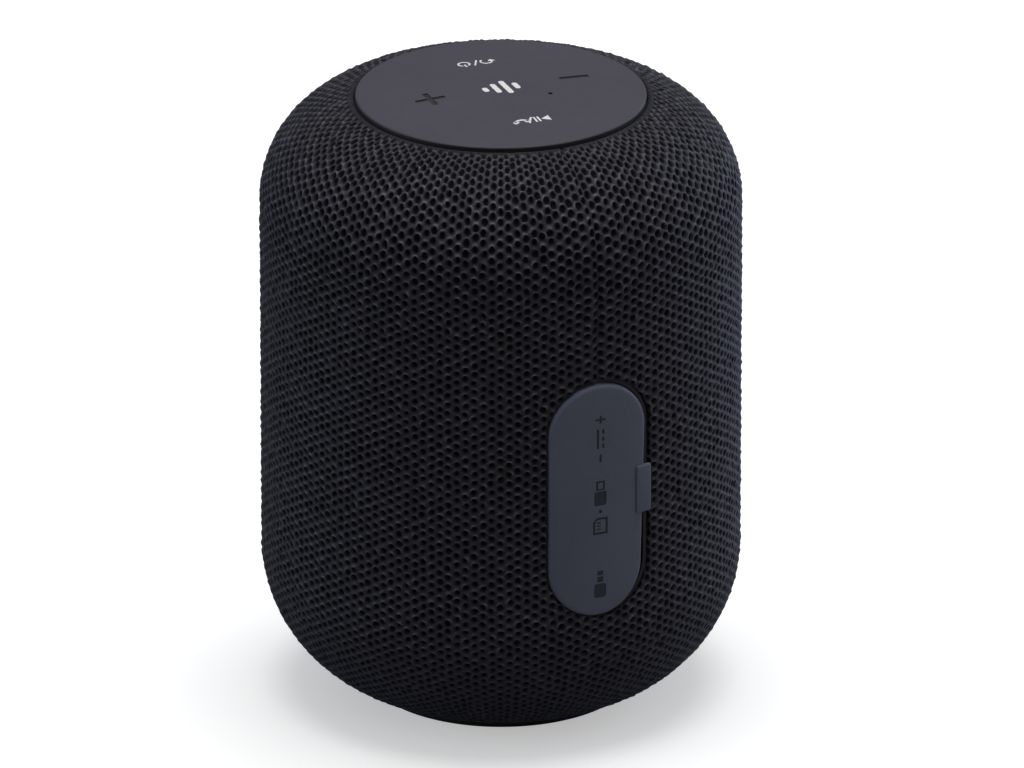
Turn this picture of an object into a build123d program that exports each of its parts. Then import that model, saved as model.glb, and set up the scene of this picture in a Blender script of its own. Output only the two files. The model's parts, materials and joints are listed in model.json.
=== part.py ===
from build123d import *
import math
import os

# A portable speaker: a fabric-covered upright barrel with a round key pad on top, a rubber port
# cover low on its front side and an upward-firing driver inside.  Millimetres.  +Z is up, the
# origin is the centre of the foot on the resting plane and the port cover faces -Y.

# ---------------------------------------------------------------- driving dimensions
BODY_RADIUS = 40.0          # outside of the fabric
FABRIC_TOP = 104.4          # highest point of the fabric, beside the pad
PAD_EDGE_Z = 105.2          # rim of the key pad
PAD_DOME = 0.85             # how much the pad's middle stands above its rim
OVERALL_HEIGHT = PAD_EDGE_Z + PAD_DOME
SHOULDER_RADIUS = 17.6      # rounding of the barrel's upper edge
BASE_RADIUS = 25.4          # rounding of the barrel's lower edge

FABRIC_THICKNESS = 1.6
ASSEMBLY_GAP = 0.1          # clearance between stacked parts that don't move
WALL = 2.3                  # moulded shell thickness
HOUSING_INSET = FABRIC_THICKNESS + ASSEMBLY_GAP
CAVITY_INSET = HOUSING_INSET + WALL
CAVITY_RADIUS = BODY_RADIUS - CAVITY_INSET

SHOULDER_CENTRE = (BODY_RADIUS - SHOULDER_RADIUS, FABRIC_TOP - SHOULDER_RADIUS)
BASE_CENTRE = (BODY_RADIUS - BASE_RADIUS, BASE_RADIUS)

PAD_RADIUS = 24.1
PAD_THICKNESS = 1.6
FABRIC_TOP_EDGE = PAD_RADIUS + 0.3
FABRIC_LOW_EDGE = 23.0
FOOT_RADIUS = 22.4
FOOT_THICKNESS = 2.4

SPLIT_Z = 24.0              # where the base shell meets the housing body
GASKET_THICKNESS = 0.6

KEY_ORBIT = 13.4            # distance of each key from the pad's centre
KEY_RADIUS = 4.6
KEY_CLEARANCE = 0.08
KEY_TRAVEL = 0.3
PAD_TURN = -2.5             # the pad sits turned by this many degrees against the port cover
KEYS = {"plus": 180, "minus": 0, "power": 90, "play": 270}   # place on the pad, in degrees
MICROPHONE = (6.6, -5.3)

PORT_Z = 47.6               # middle of the port cover
COVER_WIDTH = 17.1
COVER_LENGTH = 41.0
COVER_PROUD = 0.7           # how far the cover stands out of the fabric
COVER_GAP = 0.2
PANEL_RIM = 0.65
HINGE_X = -(COVER_WIDTH / 2 + 0.1)
TAB_Z = PORT_Z + 0.7
TAB_HEIGHT = 8.4
TAB_WIDTH = 2.9
TAB_REACH = 1.0             # how far the tab reaches past the cover's side
ANCHOR_HEIGHT = 8.0
ANCHOR_FACE_Y = -38.0       # outer end of the strap's root, below the fabric's lip

BAFFLE_Z = 80.4             # underside of the baffle
BAFFLE_THICKNESS = 2.4
DRIVER_TOP = BAFFLE_Z - 0.6  # mounting face of the driver, under its gasket

SCREW_SHANK = 1.0
SCREW_HEAD = 1.9
SCREW_HEAD_HEIGHT = 1.3
SCREW_CLEARANCE = 0.03

BOTTOM = (Align.CENTER, Align.CENTER, Align.MIN)


# ---------------------------------------------------------------- small helpers
def block(x0, x1, y0, y1, z0, z1):
    """A box given by its extents."""
    box = Box(x1 - x0, y1 - y0, z1 - z0, align=(Align.MIN, Align.MIN, Align.MIN))
    return Pos(x0, y0, z0) * box


def post(radius, z0, z1, x=0.0, y=0.0):
    """An upright cylinder from z0 to z1."""
    return Pos(x, y, z0) * Cylinder(radius, z1 - z0, align=BOTTOM)


def ring(r_in, r_out, z0, z1):
    """An upright ring from z0 to z1."""
    return post(r_out, z0, z1) - post(r_in, z0 - 1, z1 + 1)


def rod_y(radius, x, z, y0, y1):
    """A cylinder along Y."""
    return Pos(x, (y0 + y1) / 2, z) * Rot(90, 0, 0) * Cylinder(radius, y1 - y0)


def rod_x(radius, y, z, x0, x1):
    """A cylinder along X."""
    return Pos((x0 + x1) / 2, y, z) * Rot(0, 90, 0) * Cylinder(radius, x1 - x0)


def lathe(*points):
    """Turns a closed outline of (radius, z) points about the Z axis."""
    return revolve(Plane.XZ * make_face(Polyline(*points, close=True)), Axis.Z)


def polar(radius, degrees):
    """A point at this radius and direction."""
    angle = math.radians(degrees)
    return radius * math.cos(angle), radius * math.sin(angle)


def four_corners(radius):
    """Four places at this radius, between the row axes."""
    return [polar(radius, 45 + 90 * i) for i in range(4)]


def united(solids):
    """Gathers separate solids in one compound."""
    return Compound(children=[s for group in solids for s in group.solids()])


def screw_up(x, y, z_head, length):
    """A screw whose head is below z_head and whose shank points up."""
    head = post(SCREW_HEAD, z_head - SCREW_HEAD_HEIGHT, z_head, x, y)
    slot = block(x - 0.3, x + 0.3, y - 1.2, y + 1.2, z_head - SCREW_HEAD_HEIGHT, z_head - 0.8)
    cross = block(x - 1.2, x + 1.2, y - 0.3, y + 0.3, z_head - SCREW_HEAD_HEIGHT, z_head - 0.8)
    return head - slot - cross + post(SCREW_SHANK, z_head, z_head + length, x, y)


def screw_down(x, y, z_head, length):
    """A screw whose head is above z_head and whose shank points down."""
    return Pos(0, 0, 2 * z_head) * mirror(screw_up(x, y, z_head, length), Plane.XY)


def cable(radius, *points):
    """A round cable along a smooth line through the points."""
    path = Spline(*points)
    return sweep(Plane(origin=path @ 0, z_dir=path % 0) * Circle(radius), path=path)


# ---------------------------------------------------------------- the barrel's outline
def shoulder_z(radius, inset):
    """Height of the shoulder rounding at this radius, on a surface inset from the fabric."""
    reach = max(radius - SHOULDER_CENTRE[0], 0.0)
    return SHOULDER_CENTRE[1] + math.sqrt((SHOULDER_RADIUS - inset) ** 2 - reach**2)


def base_z(radius, inset):
    """Height of the base rounding at this radius, on a surface inset from the fabric."""
    reach = radius - BASE_CENTRE[0]
    return BASE_CENTRE[1] - math.sqrt((BASE_RADIUS - inset) ** 2 - reach**2)


def barrel_line(inset, low_radius, high_radius):
    """The barrel's side outline from its low edge up to its high edge, inset from the fabric."""
    low = base_z(low_radius, inset)
    high = shoulder_z(high_radius, inset)
    side = BODY_RADIUS - inset
    low_reach = BASE_RADIUS - inset
    low_middle_angle = math.asin((low - BASE_CENTRE[1]) / low_reach) / 2
    low_middle = (
        BASE_CENTRE[0] + low_reach * math.cos(low_middle_angle),
        BASE_CENTRE[1] + low_reach * math.sin(low_middle_angle),
    )
    high_reach = SHOULDER_RADIUS - inset
    start = max(high_radius, SHOULDER_CENTRE[0])
    high_angle = math.acos((start - SHOULDER_CENTRE[0]) / high_reach) / 2
    high_middle = (
        SHOULDER_CENTRE[0] + high_reach * math.cos(high_angle),
        SHOULDER_CENTRE[1] + high_reach * math.sin(high_angle),
    )
    edges = [
        ThreePointArc((low_radius, low), low_middle, (side, BASE_CENTRE[1])),
        Line((side, BASE_CENTRE[1]), (side, SHOULDER_CENTRE[1])),
        ThreePointArc((side, SHOULDER_CENTRE[1]), high_middle, (start, high)),
    ]
    if start > high_radius:
        edges.append(Line((start, high), (high_radius, high)))
    return edges, (low_radius, low), (high_radius, high)


def barrel_shell(outer_inset, inner_inset, low_radius, high_radius):
    """A turned skin between two insets of the barrel's outline."""
    outer, outer_low, outer_high = barrel_line(outer_inset, low_radius, high_radius)
    inner, inner_low, inner_high = barrel_line(inner_inset, low_radius, high_radius)
    closing = [Line(outer_low, inner_low), Line(outer_high, inner_high)]
    return revolve(Plane.XZ * make_face(outer + inner + closing), Axis.Z)


def pill(width, length, r_in, r_out):
    """An upright pill on the -Y side, cut from the layer between two radii about the axis."""
    outline = Plane.XZ * Pos(0, PORT_Z) * Rot(0, 0, 90) * SlotOverall(length, width)
    prism = extrude(outline, BODY_RADIUS + 10)
    return prism & ring(r_in, r_out, 0, OVERALL_HEIGHT)


# ---------------------------------------------------------------- ports behind the cover
BOARD_X = (-2.6, -1.4)      # the main board stands upright behind the ports
SOCKET_X = BOARD_X[1] + 0.02
SOCKET_Y = -35.4            # front faces of the sockets
FLOOR_RADIUS = 38.0         # outer face of the port panel's floor
FLOOR_BACK = 36.2

JACK_X = SOCKET_X + 3.0
JACK_Z = PORT_Z - 14.3
JACK_BORE = 1.8             # for a 3.5 mm plug
JACK_NOSE = 2.9
JACK_MOUTH_Y = -37.5
JACK_DEPTH = 13.5

USB_Z = PORT_Z - 0.5
USB_SIZE = (5.7, 14.0, 13.1)
USB_X = SOCKET_X + USB_SIZE[0] / 2

CARD_SIZE = (1.6, 14.5, 12.6)
CARD_X = BOARD_X[0] - 0.02 - CARD_SIZE[0] / 2

DC_Z = PORT_Z + 13.1
EAR_Z = (PORT_Z - 22.1, PORT_Z + 16.9)      # lower edges of the two ears that hold the main board
EAR_HEIGHT = 5.0
BOARD_SCREW_Y = -30.5
DC_SIZE = (2.6, 5.4, 7.6)
DC_X = SOCKET_X + DC_SIZE[0] / 2


def board_screw_heights():
    """Heights of the two screws through the ears."""
    return [z0 + EAR_HEIGHT / 2 for z0 in EAR_Z]


def port_block(x, z, width, height, y0, y1):
    """A box centred on a port, running along Y."""
    return block(x - width / 2, x + width / 2, y0, y1, z - height / 2, z + height / 2)


def port_openings():
    """The holes in the panel's floor that the sockets show through."""
    holes = rod_y(JACK_NOSE + 0.2, JACK_X, JACK_Z, -BODY_RADIUS, -FLOOR_BACK + 2)
    holes += port_block(USB_X, USB_Z, 5.1, 12.6, -BODY_RADIUS, -30)
    holes += port_block(CARD_X, USB_Z, 1.1, 11.6, -BODY_RADIUS, -30)
    holes += port_block(DC_X, DC_Z, 2.4, 7.4, -BODY_RADIUS, -30)
    return holes


def port_panel():
    """A pan set in the housing wall; its floor carries the sockets' openings."""
    pocket_width = COVER_WIDTH + 2 * COVER_GAP
    pocket_length = COVER_LENGTH + 2 * COVER_GAP
    outer_width = pocket_width + 2 * PANEL_RIM
    outer_length = pocket_length + 2 * PANEL_RIM
    rim_top = BODY_RADIUS - 0.6
    back = CAVITY_RADIUS - 1.8
    pan = pill(outer_width, outer_length, back, rim_top)
    pan -= pill(pocket_width, pocket_length, FLOOR_RADIUS, rim_top + 1)
    pan -= pill(pocket_width - 1.6, pocket_length - 1.6, back - 1, FLOOR_BACK)
    flange = pill(outer_width + 5, outer_length + 5, back, CAVITY_RADIUS - ASSEMBLY_GAP)
    flange -= pill(outer_width - 0.1, outer_length - 0.1, back - 1, CAVITY_RADIUS + 1)
    pan += flange
    for z0 in EAR_Z:
        ear = block(BOARD_X[0] - 4.0, BOARD_X[0] - 0.02, -35.0, -28.0, z0, z0 + EAR_HEIGHT)
        pan += ear & post(CAVITY_RADIUS - ASSEMBLY_GAP, z0, z0 + EAR_HEIGHT)
    for z in board_screw_heights():
        pan -= rod_x(0.95, BOARD_SCREW_Y, z, BOARD_X[0] - 3.4, BOARD_X[0] + 1)
    notch_z = (PORT_Z - ANCHOR_HEIGHT / 2 - 0.05, PORT_Z + ANCHOR_HEIGHT / 2 + 0.05)
    pan -= block(HINGE_X - 0.8, HINGE_X + 0.1, -BODY_RADIUS, -30, *notch_z)
    pan -= port_openings()
    return max(pan.solids(), key=lambda solid: solid.volume)


def cover_anchor():
    """The strap root of the port cover, pressed into the notch of the panel."""
    z0 = PORT_Z - ANCHOR_HEIGHT / 2
    z1 = PORT_Z + ANCHOR_HEIGHT / 2
    strap = block(HINGE_X - 0.75, HINGE_X, ANCHOR_FACE_Y, -33.0, z0, z1)
    barb = block(HINGE_X - 0.75, HINGE_X + 2.0, -33.0, -32.0, z0, z1)
    return strap + barb


def port_cover():
    """The rubber cover: a curved pill with a pull tab, a hollow back and three short plugs."""
    inner = FLOOR_RADIUS + 0.1
    outer = BODY_RADIUS + COVER_PROUD
    skin = outer - 1.3
    rim = 1.2
    cover = pill(COVER_WIDTH, COVER_LENGTH, inner, outer)
    rim_edges = [e for e in cover.edges() if math.hypot(*tuple(e @ 0.5)[:2]) > outer - 0.01]
    cover = fillet(rim_edges, 0.55)
    cover -= pill(COVER_WIDTH - 2 * rim, COVER_LENGTH - 2 * rim, inner - 1, skin)
    tab_x = COVER_WIDTH / 2 + TAB_REACH
    tab_z = (TAB_Z - TAB_HEIGHT / 2, TAB_Z + TAB_HEIGHT / 2)
    tab = block(tab_x - TAB_WIDTH, tab_x, -BODY_RADIUS - 5, 0, *tab_z)
    tab = fillet(tab.edges().filter_by(Axis.Y), 0.8)
    cover += tab & ring(BODY_RADIUS + 0.15, outer + 0.5, 0, OVERALL_HEIGHT)
    root_y = -outer + 0.6
    plug_y = -FLOOR_RADIUS + 0.8
    cover += rod_y(JACK_BORE + 0.6, JACK_X, JACK_Z, root_y, JACK_MOUTH_Y - ASSEMBLY_GAP)
    cover += port_block(USB_X, USB_Z, 4.0, 11.6, root_y, plug_y)
    cover += port_block(DC_X, DC_Z, 1.4, 6.4, root_y, plug_y)
    return cover


def aux_jack():
    """The 3.5 mm stereo jack, with a round nose that fills its hole in the panel."""
    body = block(SOCKET_X, SOCKET_X + 6.0, SOCKET_Y, -23.0, JACK_Z - 3.2, JACK_Z + 3.2)
    body += rod_y(JACK_NOSE, JACK_X, JACK_Z, JACK_MOUTH_Y, SOCKET_Y + 1)
    return body - rod_y(JACK_BORE, JACK_X, JACK_Z, JACK_MOUTH_Y - 1, JACK_MOUTH_Y + JACK_DEPTH)


def socket_shell(x, z, size, wall):
    """A folded metal socket, open towards the port panel."""
    width, depth, height = size
    back_y = SOCKET_Y + depth
    shell = port_block(x, z, width, height, SOCKET_Y, back_y)
    return shell - port_block(x, z, width - 2 * wall, height - 2 * wall, SOCKET_Y - 1, back_y - 1)


def usb_tongue():
    """The contact tongue inside the USB socket."""
    return port_block(USB_X - 0.9, USB_Z, 1.8, 11.1, SOCKET_Y + 0.8, SOCKET_Y + USB_SIZE[1] - 1)


# ---------------------------------------------------------------- shells and fabric
def fabric_sleeve():
    """The padded mesh fabric around the barrel, with an opening for the port panel."""
    sleeve = barrel_shell(0, FABRIC_THICKNESS, FABRIC_LOW_EDGE, FABRIC_TOP_EDGE)
    opening_margin = 2 * (COVER_GAP + PANEL_RIM) + 0.4
    return sleeve - pill(COVER_WIDTH + opening_margin, COVER_LENGTH + opening_margin, 30, 50)


SLOT_COUNT = 36
SLOT_WIDTH = 2.2
SLOT_Z = (85.6, 100.6)
NECK = (21.5, 23.3)         # inner and outer radius of the seat for the top cap
NECK_LEDGE = 17.4
CAP_SCREW_ORBIT = 19.2
NECK_Z = (98.2, 100.4)
SNAP_COUNT = 4
SNAP_WIDTH = 7.6
SNAP_Z = 27.2               # where the hooks catch
LEDGE_RADIUS = 31.2
BAFFLE_SCREW_ORBIT = 33.4


def plastic_shell():
    """The whole moulded barrel before it is split into housing body and base shell."""
    return barrel_shell(HOUSING_INSET, CAVITY_INSET, FOOT_RADIUS, NECK[0])


def housing_body():
    """The upper shell, with sound slots over the shoulder and seats for the baffle and cap."""
    z0 = SPLIT_Z + GASKET_THICKNESS
    body = plastic_shell() & post(BODY_RADIUS, z0, OVERALL_HEIGHT)
    slot = block(NECK[1] + 2.5, BODY_RADIUS, -SLOT_WIDTH / 2, SLOT_WIDTH / 2, *SLOT_Z)
    for i in range(SLOT_COUNT):
        body -= Rot(0, 0, (i + 0.5) * 360 / SLOT_COUNT) * slot
    body += ring(*NECK, NECK_Z[0], shoulder_z(NECK[0], HOUSING_INSET))
    body += ring(NECK_LEDGE, NECK[0] + 0.1, *NECK_Z)
    ledge_z = BAFFLE_Z + BAFFLE_THICKNESS
    body += ring(LEDGE_RADIUS, CAVITY_RADIUS + 0.2, ledge_z, ledge_z + 1.6)
    for i in range(4):
        x, y = polar(BAFFLE_SCREW_ORBIT, 90 * i)
        body -= post(SCREW_SHANK + SCREW_CLEARANCE, ledge_z - 1, ledge_z + 2, x, y)
    for x, y in four_corners(CAP_SCREW_ORBIT):
        body -= post(SCREW_SHANK + SCREW_CLEARANCE, NECK_Z[0] - 1, NECK_Z[1] + 1, x, y)
    half = SNAP_WIDTH / 2 + 0.2
    window = block(CAVITY_RADIUS - 0.5, CAVITY_RADIUS + 1.2, -half, half, SNAP_Z - 0.2, SNAP_Z + 2.4)
    for i in range(SNAP_COUNT):
        body -= Rot(0, 0, 45 + i * 360 / SNAP_COUNT) * window
    margin = 2 * (COVER_GAP + PANEL_RIM) + 2 * ASSEMBLY_GAP
    body -= pill(COVER_WIDTH + margin, COVER_LENGTH + margin, 30, 50)
    return body


TRAY_Z = (10.4, 11.8)
TRAY_SCREW_X = 14.0


def base_shell():
    """The bowl-shaped base, with snap hooks for the housing and posts for the battery tray."""
    plate_z = (FOOT_THICKNESS, FOOT_THICKNESS + 2.5)
    base = plastic_shell() & post(BODY_RADIUS, 0, SPLIT_Z)
    base += post(FOOT_RADIUS + 0.4, *plate_z)
    half = SNAP_WIDTH / 2
    hook = block(CAVITY_RADIUS - 1.6, CAVITY_RADIUS - 0.2, -half, half, SNAP_Z - 8.7, SNAP_Z + 2.8)
    barb = lathe(
        (CAVITY_RADIUS - 1.0, SNAP_Z),
        (CAVITY_RADIUS + 0.9, SNAP_Z),
        (CAVITY_RADIUS + 0.9, SNAP_Z + 0.7),
        (CAVITY_RADIUS - 0.2, SNAP_Z + 2.1),
        (CAVITY_RADIUS - 1.0, SNAP_Z + 2.1),
    )
    hook += barb & block(0, BODY_RADIUS, -half, half, SNAP_Z - 0.2, SNAP_Z + 2.8)
    for i in range(SNAP_COUNT):
        base += Rot(0, 0, 45 + i * 360 / SNAP_COUNT) * hook
    for side in (-1, 1):
        screw_x = side * TRAY_SCREW_X
        base += post(2.6, plate_z[1] - 0.5, TRAY_Z[0], screw_x)
        base -= post(SCREW_SHANK + SCREW_CLEARANCE, plate_z[1] + 0.5, TRAY_Z[0] + 1, screw_x)
        base += post(2.6, plate_z[1] - 0.5, TRAY_Z[0], 0, side * 11.0)
    return base


def base_gasket():
    """The seal between the base shell and the housing body."""
    side = BODY_RADIUS - HOUSING_INSET
    return ring(CAVITY_RADIUS + 0.2, side - 0.2, SPLIT_Z, SPLIT_Z + GASKET_THICKNESS)


def rubber_foot():
    """The rubber foot glued under the base, hollowed so that it rests on its outer band."""
    return lathe(
        (0, 0.5),
        (14.0, 0.5),
        (14.5, 0),
        (FOOT_RADIUS - 1.2, 0),
        (FOOT_RADIUS, 1.0),
        (FOOT_RADIUS, FOOT_THICKNESS),
        (0, FOOT_THICKNESS),
    )


# ---------------------------------------------------------------- key pad and top cap
CAP_Z = (NECK_Z[1], PAD_EDGE_Z - PAD_THICKNESS - 0.05)
CAP_PLATE = 1.2
CAP_RADIUS = NECK[0] - ASSEMBLY_GAP
STEM_RADIUS = 1.4
BUTTON_BOARD_Z = (95.6, 96.8)
BUTTON_BOARD_RADIUS = 17.6
SWITCH_HEIGHT = 3.5
PLUNGER_RADIUS = 1.7
PLUNGER_Z = (99.5, 101.1)
BOARD_POST_ORBIT = 13.5


def key_place(name):
    """The middle of a key."""
    return polar(KEY_ORBIT, KEYS[name] + PAD_TURN)


def dome():
    """The large ball whose top is the pad's slightly raised surface."""
    radius = (PAD_RADIUS**2 + PAD_DOME**2) / (2 * PAD_DOME)
    return Pos(0, 0, OVERALL_HEIGHT - radius) * Sphere(radius)


def dome_z(distance):
    """Height of the pad's surface at this distance from its middle."""
    return OVERALL_HEIGHT - PAD_DOME * (distance / PAD_RADIUS) ** 2


def button_pad():
    """The round pad on top, with one hole for each key and a pinhole for the microphone."""
    z0 = PAD_EDGE_Z - PAD_THICKNESS
    pad = post(PAD_RADIUS, z0, OVERALL_HEIGHT) & dome()
    rim = [edge for edge in pad.edges() if abs((edge @ 0.5).Z - PAD_EDGE_Z) < 0.01]
    pad = fillet(rim, 0.3)
    for name in KEYS:
        pad -= post(KEY_RADIUS + KEY_CLEARANCE, z0 - 1, OVERALL_HEIGHT + 1, *key_place(name))
    return pad - post(0.5, z0 - 1, OVERALL_HEIGHT + 1, *MICROPHONE)


def key_mark(name):
    """The sunk sign on the volume keys: a bar, and a second one across it for plus."""
    reach = 2.6
    half = 0.5
    z = (dome_z(KEY_ORBIT) - 0.3, OVERALL_HEIGHT + 1)
    mark = block(-reach, reach, -half, half, *z)
    if name == "plus":
        mark += block(-half, half, -reach, reach, *z)
    return Pos(*key_place(name), 0) * Rot(0, 0, PAD_TURN) * mark


def key(name):
    """One key: its face, flush with the pad, and the stem that pushes its switch."""
    x, y = key_place(name)
    solid = post(KEY_RADIUS, PAD_EDGE_Z - 1.0, OVERALL_HEIGHT, x, y) & dome()
    solid += post(STEM_RADIUS, PLUNGER_Z[1] + 0.02, PAD_EDGE_Z - 0.5, x, y)
    if name in ("plus", "minus"):
        solid -= key_mark(name)
    return solid


def plunger(name):
    """The moving button of a key's tact switch."""
    return post(PLUNGER_RADIUS, *PLUNGER_Z, *key_place(name))


def top_cap():
    """The cap under the pad: a plate on a rim, with holes for stems and microphone."""
    cap = post(CAP_RADIUS, CAP_Z[1] - CAP_PLATE, CAP_Z[1])
    cap += ring(NECK_LEDGE, CAP_RADIUS, *CAP_Z)
    for x, y in four_corners(BOARD_POST_ORBIT):
        cap += post(2.4, BUTTON_BOARD_Z[1], CAP_Z[1] - 0.5, x, y)
        cap -= post(SCREW_SHANK + SCREW_CLEARANCE, BUTTON_BOARD_Z[1] - 1, CAP_Z[1] - 1.4, x, y)
    for name in KEYS:
        cap -= post(STEM_RADIUS + 0.15, 90, OVERALL_HEIGHT, *key_place(name))
    cap -= post(1.0, 90, OVERALL_HEIGHT, *MICROPHONE)
    for x, y in four_corners(CAP_SCREW_ORBIT):
        cap -= post(SCREW_SHANK + 0.2, 90, OVERALL_HEIGHT, x, y)
        cap -= post(SCREW_HEAD + 0.1, CAP_Z[1] - SCREW_HEAD_HEIGHT - 0.1, OVERALL_HEIGHT, x, y)
    return max(cap.solids(), key=lambda solid: solid.volume)


def top_cap_screws():
    """Four screws that hold the cap on the housing's neck, hidden by the pad."""
    z = CAP_Z[1] - SCREW_HEAD_HEIGHT - 0.1
    length = z - NECK_Z[0] - 0.3
    return united([screw_down(x, y, z, length) for x, y in four_corners(CAP_SCREW_ORBIT)])


def button_board():
    """The round board that carries the switches, hung under the cap."""
    board = post(BUTTON_BOARD_RADIUS, *BUTTON_BOARD_Z)
    for x, y in four_corners(BOARD_POST_ORBIT):
        board -= post(SCREW_SHANK + 0.2, 90, 100, x, y)
    return board


def button_board_screws():
    """Four screws from below that hold the button board."""
    z = BUTTON_BOARD_Z[0]
    return united([screw_up(x, y, z, 4.0) for x, y in four_corners(BOARD_POST_ORBIT)])


def tact_switches():
    """The four switch bodies on the button board, each with a well for its plunger."""
    bodies = []
    z0 = BUTTON_BOARD_Z[1]
    for name in KEYS:
        x, y = key_place(name)
        body = block(x - 3, x + 3, y - 3, y + 3, z0, z0 + SWITCH_HEIGHT)
        bodies.append(body - post(PLUNGER_RADIUS + 0.1, PLUNGER_Z[0] - KEY_TRAVEL - 0.1, 110, x, y))
    return united(bodies)


def microphone():
    """The microphone capsule under its pinhole."""
    return post(2.2, BUTTON_BOARD_Z[1], BUTTON_BOARD_Z[1] + 2.2, *MICROPHONE)


def status_led():
    """The lamp behind the mark in the middle of the pad."""
    return block(-1.6, 1.6, -1.0, 1.0, BUTTON_BOARD_Z[1], BUTTON_BOARD_Z[1] + 1.1)


# ---------------------------------------------------------------- driver
CONE_RADIUS = 19.0
ROLL_WIDTH = 4.3
FLANGE_RADIUS = 26.8
EAR_ORBIT = 28.8
POLE_RADIUS = 6.2
GAP_RADIUS = 6.9
PLATE_RADIUS = 14.5
MAGNET_RADIUS = 16.0
SEAT_Z = DRIVER_TOP - 12.4  # top of the magnet system, under the basket
TOP_PLATE_Z = (SEAT_Z - 2.5, SEAT_Z)
MAGNET_Z = (TOP_PLATE_Z[0] - 6.0, TOP_PLATE_Z[0])
YOKE_Z = (MAGNET_Z[0] - 2.0, SEAT_Z)
SPIDER_Z = SEAT_Z + 2.6
NECK_TOP = SEAT_Z + 6.0     # where the cone meets the voice coil
CABLE_HOLE = polar(29.5, 290)


def baffle():
    """The plate across the housing that carries the driver."""
    plate = ring(CONE_RADIUS + ROLL_WIDTH, CAVITY_RADIUS - 0.15, BAFFLE_Z, BAFFLE_Z + BAFFLE_THICKNESS)
    for x, y in four_corners(EAR_ORBIT):
        plate += post(2.3, BAFFLE_Z + 1, BAFFLE_Z + BAFFLE_THICKNESS + 2.4, x, y)
        plate -= post(SCREW_SHANK + SCREW_CLEARANCE, BAFFLE_Z - 1, BAFFLE_Z + 4.0, x, y)
    for i in range(4):
        x, y = polar(BAFFLE_SCREW_ORBIT, 90 * i)
        plate -= post(SCREW_SHANK + 0.2, BAFFLE_Z - 1, BAFFLE_Z + 4, x, y)
    return plate - post(1.6, BAFFLE_Z - 1, BAFFLE_Z + 4, *CABLE_HOLE)


def baffle_screws():
    """Four screws that hold the baffle against the housing's ledge."""
    places = [polar(BAFFLE_SCREW_ORBIT, 90 * i) for i in range(4)]
    return united([screw_up(x, y, BAFFLE_Z, 3.8) for x, y in places])


def flange_outline(z0, z1, inner):
    """A round flange with four screw ears."""
    flange = post(FLANGE_RADIUS, z0, z1)
    for x, y in four_corners(EAR_ORBIT):
        flange += post(3.0, z0, z1, x, y)
    for x, y in four_corners(EAR_ORBIT):
        flange -= post(SCREW_SHANK + 0.2, z0 - 1, z1 + 1, x, y)
    return flange - post(inner, z0 - 1, z1 + 1)


def driver_gasket():
    """The foam seal between driver and baffle."""
    return flange_outline(DRIVER_TOP + 0.3, BAFFLE_Z, CONE_RADIUS + ROLL_WIDTH + 0.4)


def driver_basket():
    """The pressed steel frame: flange, windowed cone, spider seat and magnet seat."""
    flange_z = DRIVER_TOP - 1.2
    basket = flange_outline(flange_z, DRIVER_TOP, CONE_RADIUS + ROLL_WIDTH)
    basket += lathe(
        (CONE_RADIUS + ROLL_WIDTH, DRIVER_TOP - 0.4),
        (CONE_RADIUS + ROLL_WIDTH + 0.9, DRIVER_TOP - 0.4),
        (MAGNET_RADIUS + 0.4, SEAT_Z),
        (GAP_RADIUS + 1.4, SEAT_Z),
        (GAP_RADIUS + 1.4, SEAT_Z + 0.8),
        (MAGNET_RADIUS, SEAT_Z + 0.8),
    )
    window = block(MAGNET_RADIUS + 1.2, BODY_RADIUS, -5, 5, SEAT_Z + 2.0, DRIVER_TOP - 3.0)
    for i in range(6):
        basket -= Rot(0, 0, 30 + 60 * i) * window
    basket += ring(11.6, 13.6, SEAT_Z + 0.4, SPIDER_Z)
    return basket


def driver_top_plate():
    """The steel washer over the magnet."""
    return ring(GAP_RADIUS, PLATE_RADIUS, *TOP_PLATE_Z)


def driver_magnet():
    """The ring magnet."""
    return ring(9.0, MAGNET_RADIUS, *MAGNET_Z)


def driver_yoke():
    """The back plate and pole piece in one."""
    return post(PLATE_RADIUS, YOKE_Z[0], MAGNET_Z[0]) + post(POLE_RADIUS, YOKE_Z[0], YOKE_Z[1])


def voice_coil():
    """The former and its winding, in the magnet gap."""
    former = ring(POLE_RADIUS + 0.15, POLE_RADIUS + 0.35, SEAT_Z - 4.6, NECK_TOP + 0.6)
    return former + ring(POLE_RADIUS + 0.3, POLE_RADIUS + 0.53, SEAT_Z - 3.8, SEAT_Z + 1.2)


def driver_cone():
    """The paper cone from the voice coil out to the surround."""
    neck = POLE_RADIUS + 0.37
    rim_z = DRIVER_TOP - 0.1
    return lathe(
        (neck, NECK_TOP - 0.5),
        (neck + 0.5, NECK_TOP - 0.5),
        (CONE_RADIUS, rim_z - 0.5),
        (CONE_RADIUS, rim_z),
        (CONE_RADIUS - 0.6, rim_z),
        (neck, NECK_TOP),
    )


def dust_cap():
    """The dome over the voice coil."""
    span = 7.4
    rise = 2.2
    sphere = (span**2 + rise**2) / (2 * rise)
    z = NECK_TOP + 1.5
    outer = Pos(0, 0, z + rise - sphere) * Sphere(sphere)
    inner = Pos(0, 0, z + rise - sphere) * Sphere(sphere - 0.4)
    return (outer - inner) & post(span + 1, z, z + rise + 1)


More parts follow.
